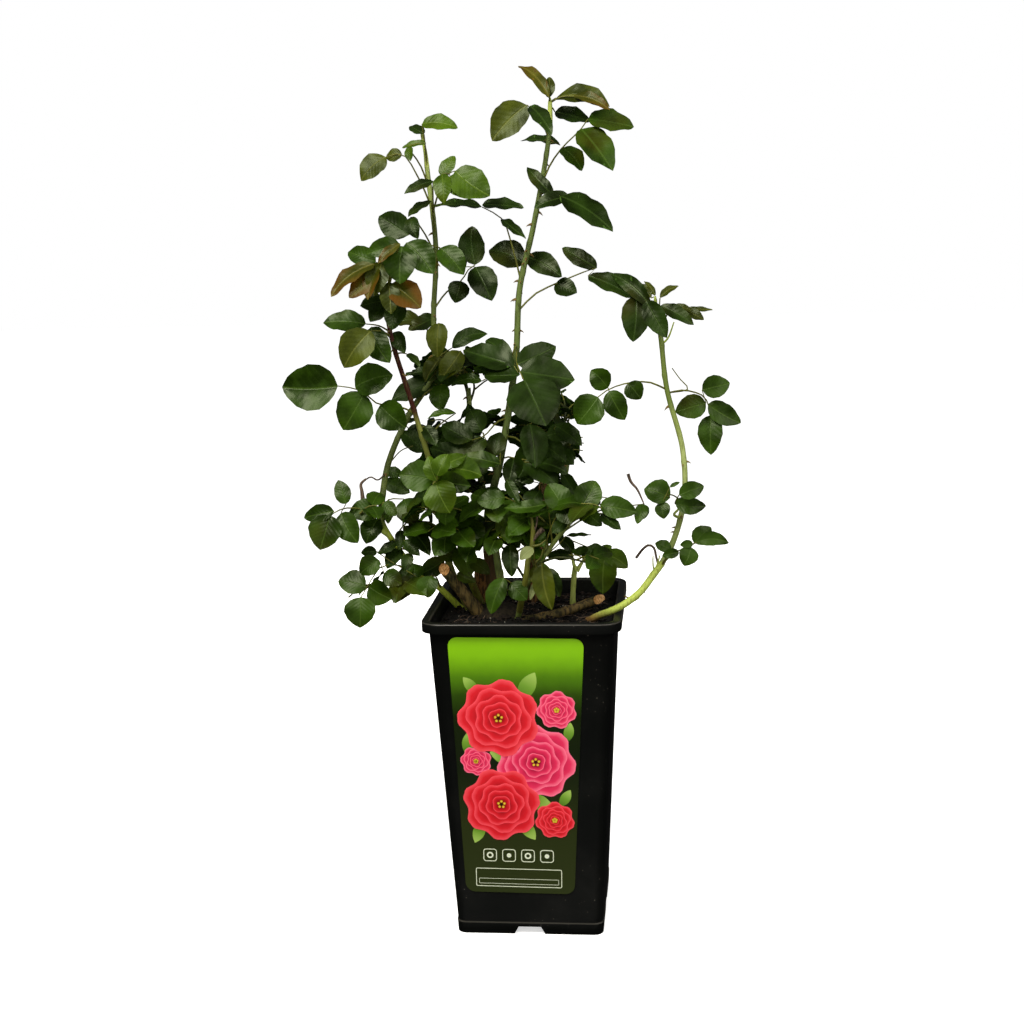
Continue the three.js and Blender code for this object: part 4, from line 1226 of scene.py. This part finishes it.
def compostMaterial(name, dark, light, grainSize):
    # peat and composted bark: dark, matt and crumbly, in lumps of grainSize mm
    material, tree, shader, place = newMaterial(name)
    crumb = addNode(tree, "TexNoise", inputs={"Vector": place["Object"], "Scale": 1000.0 / grainSize,
                                              "Detail": 6.0, "Roughness": 0.65})
    tone = addNode(tree, "ValToRGB", {"stops": [(0.38, dark), (0.74, light)]}, {"Fac": crumb})
    bump = addNode(tree, "Bump", inputs={"Height": crumb, "Strength": 0.9, "Distance": grainSize * 0.4 * mm})
    setInputs(shader, {"Base Color": tone, "Normal": bump, "Roughness": 0.9, "Specular IOR Level": 0.25})
    return material


def compostHeight(x, y):
    # a bed of ripples on several scales, higher round the root crown: rise exp(-(x/width)^2 - (y/depth)^2)
    spot = np.stack([x, y, np.zeros_like(x)], -1)
    centreX, centreY, wide, deep, rise = compostLook["mound"]
    mound = rise * np.exp(-(((x - centreX) / wide) ** 2 + ((y - centreY) / deep) ** 2))
    relief = compostLook["relief"] * ripples(spot, compostLook["reliefWaves"], 11)
    return potLook["soilLevel"] + 0.9 + mound + relief


def makeCompost():
    look = compostLook
    fine = compostMaterial("fine_peat_compost", "#070605", "#161310", 3.0)
    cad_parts["soil"].data.materials.clear()
    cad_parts["soil"].data.materials.append(fine)
    # square bed with round corners: each row of the grid is as wide as the pot is there
    y = np.linspace(-look["half"], look["half"], look["rows"])
    inset = np.clip(look["corner"] - (look["half"] - np.abs(y)), 0, look["corner"])
    reach = look["half"] - look["corner"] + np.sqrt(look["corner"] ** 2 - inset ** 2)
    x = np.linspace(-1, 1, look["rows"])[None] * np.maximum(reach, 1)[:, None]
    y = y[:, None] * np.ones_like(x)
    grid = np.stack([x, y, compostHeight(x, y)], -1)
    vertices, quads = solidGrids(grid[None], [0, 0, -3.0])
    below = len(vertices) // 2
    vertices[below:, 2] = potLook["soilLevel"] + 0.05
    makePiece("compost_bed", makeMesh("compost_bed", vertices, [quads], sharp=80), [fine])
    # litter: squat lumps of five rings round a roughly upright axis, most of them small
    draw = np.random.default_rng(3)
    for name, (count, low, high, dark, light) in litter.items():
        spots = draw.uniform(-look["half"] + 5, look["half"] - 5, (count, 2))
        size = low + (high - low) * draw.random(count) ** 2.2
        axis = unit(np.concatenate([draw.normal(0, 0.6, (count, 2)), np.ones((count, 1))], 1))
        centre = np.column_stack([spots, compostHeight(*spots.T) + size * 0.28])
        t = np.linspace(-0.96, 0.96, 5)
        paths = centre[:, None] + axis[:, None] * (t[:, None] * size[:, None, None] * 0.55)
        bulge = np.sqrt(1 - t ** 2)[None, :, None]
        radii = size[:, None, None] * bulge * draw.uniform(0.6, 1.25, (count, 5, 6))
        vertices, parts = tubes(paths, radii, 6)
        vertices[:, 2] = np.maximum(vertices[:, 2], potLook["soilLevel"] + 0.1)
        paint = compostMaterial(name + "_matt", dark, light, 2.0)
        makePiece(name, makeMesh(name, vertices, parts, sharp=40), [paint])
    # dry fibres and rootlets that lie on the crumbs, each bent to one side and arched up
    count = look["fibres"]
    spots = draw.uniform(-look["half"] + 14, look["half"] - 14, (count, 2))
    turn = draw.uniform(0, 2 * np.pi, count)[:, None]
    long = draw.uniform(*look["fibreLength"], count)[:, None]
    t = np.linspace(-0.5, 0.5, 6)[None]
    bend = draw.uniform(-0.5, 0.5, count)[:, None] * long * (t ** 2 - 0.25)
    x = spots[:, :1] + np.cos(turn) * t * long - np.sin(turn) * bend
    y = spots[:, 1:] + np.sin(turn) * t * long + np.cos(turn) * bend
    z = compostHeight(x, y) + 0.5 + draw.uniform(0, 2.2, count)[:, None] * np.clip(1 - (2 * t) ** 2, 0, 1)
    thick = draw.uniform(*look["fibreRadius"], count)[:, None] * np.ones_like(t)
    vertices, parts = tubes(np.stack([x, y, z], -1), thick, 5)
    makePiece("compost_fibres", makeMesh("compost_fibres", vertices, parts), [barkPaint["dry"]])


makeCompost()
print("stage: pot and compost are made")


labelLook = {
    "topWidth": 125.5, "footWidth": 103.5, "height": 255.0, "corner": 9.0, "thick": 0.55, "gap": 0.15,
    "centreX": -8.0, "footZ": 43.0, "tilt": 0.8, "relief": 0.07,
    "stops": [(0.0, "#2f3719"), (0.28, "#283012"), (0.5, "#151e0c"), (0.7, "#162106"), (0.78, "#294404"),
              (0.85, "#4c7a03"), (0.93, "#7cb804"), (1.0, "#8ccc03")],      # colours from the foot to the top
}
tiltAngle = math.radians(labelLook["tilt"])
wallUp = np.array([0, -math.sin(wallLean), math.cos(wallLean)])
wallOut = np.array([0, -math.cos(wallLean), -math.sin(wallLean)])
labelRight = np.array([1.0, 0, 0]) * math.cos(tiltAngle) - wallUp * math.sin(tiltAngle)
labelUp = wallUp * math.cos(tiltAngle) + np.array([1.0, 0, 0]) * math.sin(tiltAngle)
labelFoot = np.array([labelLook["centreX"], -bodyWidth(labelLook["footZ"]) / 2, labelLook["footZ"]])


def onLabel(across, height, out):
    # a point of the card: mm to the right of its middle line, up from its lower edge and out from the pot
    across, height, out = np.broadcast_arrays(across, height, out)
    return labelFoot + across[..., None] * labelRight + height[..., None] * labelUp + out[..., None] * wallOut


def printMaterial(name, stops, roughness=0.32, low=0.0, high=1.0, upright=False):
    # printed and laminated card: smooth ink under a clear film, with a faint print grain; the stops run
    # from low to high, up the object in metres or along V
    material, tree, shader, place = newMaterial(name)
    axes = addNode(tree, "SeparateXYZ", inputs={"Vector": place["Object" if upright else "UV"]}).outputs
    share = addNode(tree, "MapRange", inputs={"Value": axes["Z" if upright else "Y"], "From Min": low,
                                              "From Max": high})
    cloud = addNode(tree, "TexNoise", inputs={"Vector": place["Object"], "Scale": 60.0, "Detail": 4.0})
    nudge = addNode(tree, "Math", timesPlus, {0: cloud, 1: 0.03, 2: share})
    settle = addNode(tree, "Math", minus, {0: nudge, 1: 0.015})
    ink = addNode(tree, "ValToRGB", {"stops": stops}, {"Fac": settle})
    grain = addNode(tree, "TexNoise", inputs={"Vector": place["Object"], "Scale": 700.0})
    bump = addNode(tree, "Bump", inputs={"Height": grain, "Strength": 0.15, "Distance": 0.05 * mm})
    setInputs(shader, {"Base Color": ink, "Normal": bump, "Roughness": roughness, "Specular IOR Level": 0.4})
    return material


def makeCard():
    look = labelLook
    edge = look["corner"] * (1 - np.cos(np.linspace(0, np.pi / 2, 9)))
    heights = np.concatenate([edge, np.linspace(look["corner"], look["height"] - look["corner"], 24)[1:-1],
                              (look["height"] - edge)[::-1]])
    near = np.clip(look["corner"] - np.minimum(heights, look["height"] - heights), 0, look["corner"])
    width = look["footWidth"] + (look["topWidth"] - look["footWidth"]) * heights / look["height"]
    reach = width / 2 - look["corner"] + np.sqrt(look["corner"] ** 2 - near ** 2)
    across = np.linspace(-1, 1, 15)[None] * reach[:, None]
    grid = onLabel(across, heights[:, None], look["gap"] + look["thick"])
    vertices, quads = solidGrids(grid[None], -wallOut * look["thick"])
    foot = look["footZ"] * mm
    paint = printMaterial("laminated_label_card", look["stops"], 0.34, foot, foot + look["height"] * mm, True)
    mesh = makeMesh("printed_label", vertices, [quads], sharp=40)
    makePiece("printed_label", mesh, [paint], ["label"])


def makeInlay(name, grids, uvs, paint):
    # a print layer: plates as thin as foil, lying just over the card
    vertices, quads = solidGrids(grids, -wallOut * labelLook["relief"])
    both = np.concatenate([uvs.reshape(len(grids), -1, 2)] * 2, axis=1).reshape(-1, 2)
    makePiece(name, makeMesh(name, vertices, [quads], both, sharp=60), [paint])


petalLook = {"droop": 0.16, "notch": 0.07, "notchHalf": 0.22, "ruffle": 0.05, "spread": 1.18}


def petalGrids(centre, radius, count, turn, level):
    # petals round a centre, phi from -1 to 1 across each: its edge is at
    # radius (1 - droop phi^2 - notch exp(-(phi / notchHalf)^2) + ruffle cos 5 phi)
    ring = np.linspace(0.10, 1, 9)[:, None]
    phi = np.linspace(-1, 1, 13)[None]
    look = petalLook
    edge = radius * (1 - look["droop"] * phi ** 2 - look["notch"] * np.exp(-(phi / look["notchHalf"]) ** 2)
                     + look["ruffle"] * np.cos(5 * phi))
    fan = look["spread"] * np.pi / count * ring ** 0.35
    grids, maps = [], []
    for number in range(count):
        angle = turn + number * 2 * np.pi / count + phi * fan
        reach = ring * edge
        out = level + 0.04 * number / count
        # columns run clockwise so that the plate faces out
        grid = onLabel(centre[0] + reach * np.sin(angle), centre[1] + reach * np.cos(angle), out)
        grids.append(grid[::-1])
        maps.append(np.stack(np.broadcast_arrays(phi * 0.5 + 0.5, ring), -1)[::-1])
    return np.array(grids), np.array(maps)


def discGrids(centres, radius, level, inner=0.0):
    # small rings and discs: polar plates from inner to 1 times the radius
    ring = np.linspace(1, max(inner, 0.02), 3)[:, None]
    turn = np.linspace(0, 2 * np.pi, 17)[None]
    grids = [onLabel(x + radius * ring * np.sin(turn), y + radius * ring * np.cos(turn), level)
             for x, y in centres]
    flat = np.stack(np.broadcast_arrays(turn / 7, ring), -1)
    return np.array(grids), np.array([flat] * len(grids))


def leafGrids(rows, level):
    # printed leaves: (centre, length, heading in degrees), pointed at both ends, half breadth as sin
    t = np.linspace(0.01, 0.99, 9)[:, None]
    c = np.linspace(-1, 1, 5)[None]
    grids, maps = [], []
    for (x, y), length, heading in rows:
        angle = math.radians(heading)
        breadth = 0.24 * length * np.sin(np.pi * t) ** 0.8 * c
        along = (t - 0.5) * length
        grids.append(onLabel(x + along * math.cos(angle) + breadth * math.sin(angle),
                             y + along * math.sin(angle) - breadth * math.cos(angle), level))
        maps.append(np.stack(np.broadcast_arrays(c * 0.5 + 0.5, t), -1))
    return np.array(grids), np.array(maps)


def outlineGrids(low, high, line, corner, level):
    # the outline of a box with round corners, a band of the line's width
    turn = np.append(np.linspace(0, 2 * np.pi, 33), 0.0)[None]
    band = np.array([0.0, line])[:, None]
    cornerX = np.where(np.sin(turn) >= 0, high[0] - corner, low[0] + corner)
    cornerY = np.where(np.cos(turn) >= 0, high[1] - corner, low[1] + corner)
    grid = onLabel(cornerX + (corner - band) * np.sin(turn), cornerY + (corner - band) * np.cos(turn), level)
    return grid[None], np.stack(np.broadcast_arrays(turn / 7, band / line), -1)[None]


def together(*pairs):
    # grids and uvs of several shapes as one
    return np.concatenate([p[0] for p in pairs]), np.concatenate([p[1] for p in pairs])


def makePrint():
    face = labelLook["gap"] + labelLook["thick"]
    layer = labelLook["relief"]
    red = printMaterial("ink_red_petals", [(0.0, "#3c0206"), (0.5, "#a00a14"), (0.86, "#dc1e2a"),
                                           (1.0, "#f8505c")])
    rose = printMaterial("ink_rose_petals", [(0.0, "#4c041a"), (0.5, "#ac0e38"), (0.86, "#e62e5a"),
                                             (1.0, "#ff7896")])
    gold = printMaterial("ink_yellow_stamens", [(0.0, "#f0d84a"), (1.0, "#c79a1e")])
    green = printMaterial("ink_leaf_green", [(0.0, "#3f6a18"), (0.5, "#6f9a30"), (1.0, "#a8c860")])
    pale = printMaterial("ink_pale_line", [(0.0, "#d9e2c4"), (1.0, "#e6ecd6")])
    # double flowers: centre, radius, turn, storey; each has whorls of a share of the radius and a count
    redOnes = [((-17, 177), 39, 0.2, 1), ((-16, 91), 37, 0.5, 1), ((34, 76), 19, 0.9, 1)]
    roseOnes = [((17, 134), 38, 0.8, 0), ((37, 186), 19, 0.1, 1), ((-39, 134), 15, 0.3, 0)]
    whorls = [(1.0, 7), (0.80, 6), (0.60, 6), (0.42, 5), (0.25, 4)]
    makeInlay("label_leaves", *leafGrids([((10, 208), 32, 62), ((-46, 152), 24, 80), ((-12, 138), 30, 160),
                                          ((-42, 208), 22, 130), ((18, 94), 32, -20), ((8, 66), 26, -55),
                                          ((-38, 62), 24, -110), ((44, 98), 20, 60), ((48, 164), 20, 80)],
                                         face + layer), green)
    for name, flowers, paint in (("red", redOnes, red), ("rose", roseOnes, rose)):
        petals = [petalGrids(c, r * size, count, turn + 0.45 * n, face + layer * (2 + n + 6 * storey))
                  for c, r, turn, storey in flowers for n, (size, count) in enumerate(whorls)]
        makeInlay("label_petals_" + name, *together(*petals), paint)
    dots = [(c[0] + 0.08 * r * math.sin(k * 1.26), c[1] + 0.08 * r * math.cos(k * 1.26))
            for c, r, turn, storey in redOnes + roseOnes for k in range(5)]
    makeInlay("label_stamens", *discGrids(dots, 1.3, face + 14 * layer), gold)
    # four plain marks in a row, rings and dots by turns, over an empty box
    flat, markX, markY, markHalf = face + layer, (-28, -10, 8, 26), 38.5, 6.5
    marks = [outlineGrids((x - markHalf, markY - markHalf), (x + markHalf, markY + markHalf), 0.8, 3.0, flat)
             for x in markX]
    shapes = [discGrids([(x, markY) for x in markX[::2]], 3.2, flat, 0.55),
              discGrids([(x, markY) for x in markX[1::2]], 2.2, flat)]
    boxes = [outlineGrids((-42, 6), (40, 25), 0.7, 1.6, flat), outlineGrids((-39, 9), (37, 14.5), 0.4, 0.8,
                                                                            flat)]
    makeInlay("label_marks", *together(*marks, *boxes), pale)
    makeInlay("label_dots", *together(*shapes), pale)


makeCard()
makePrint()
print("stage: label is printed")
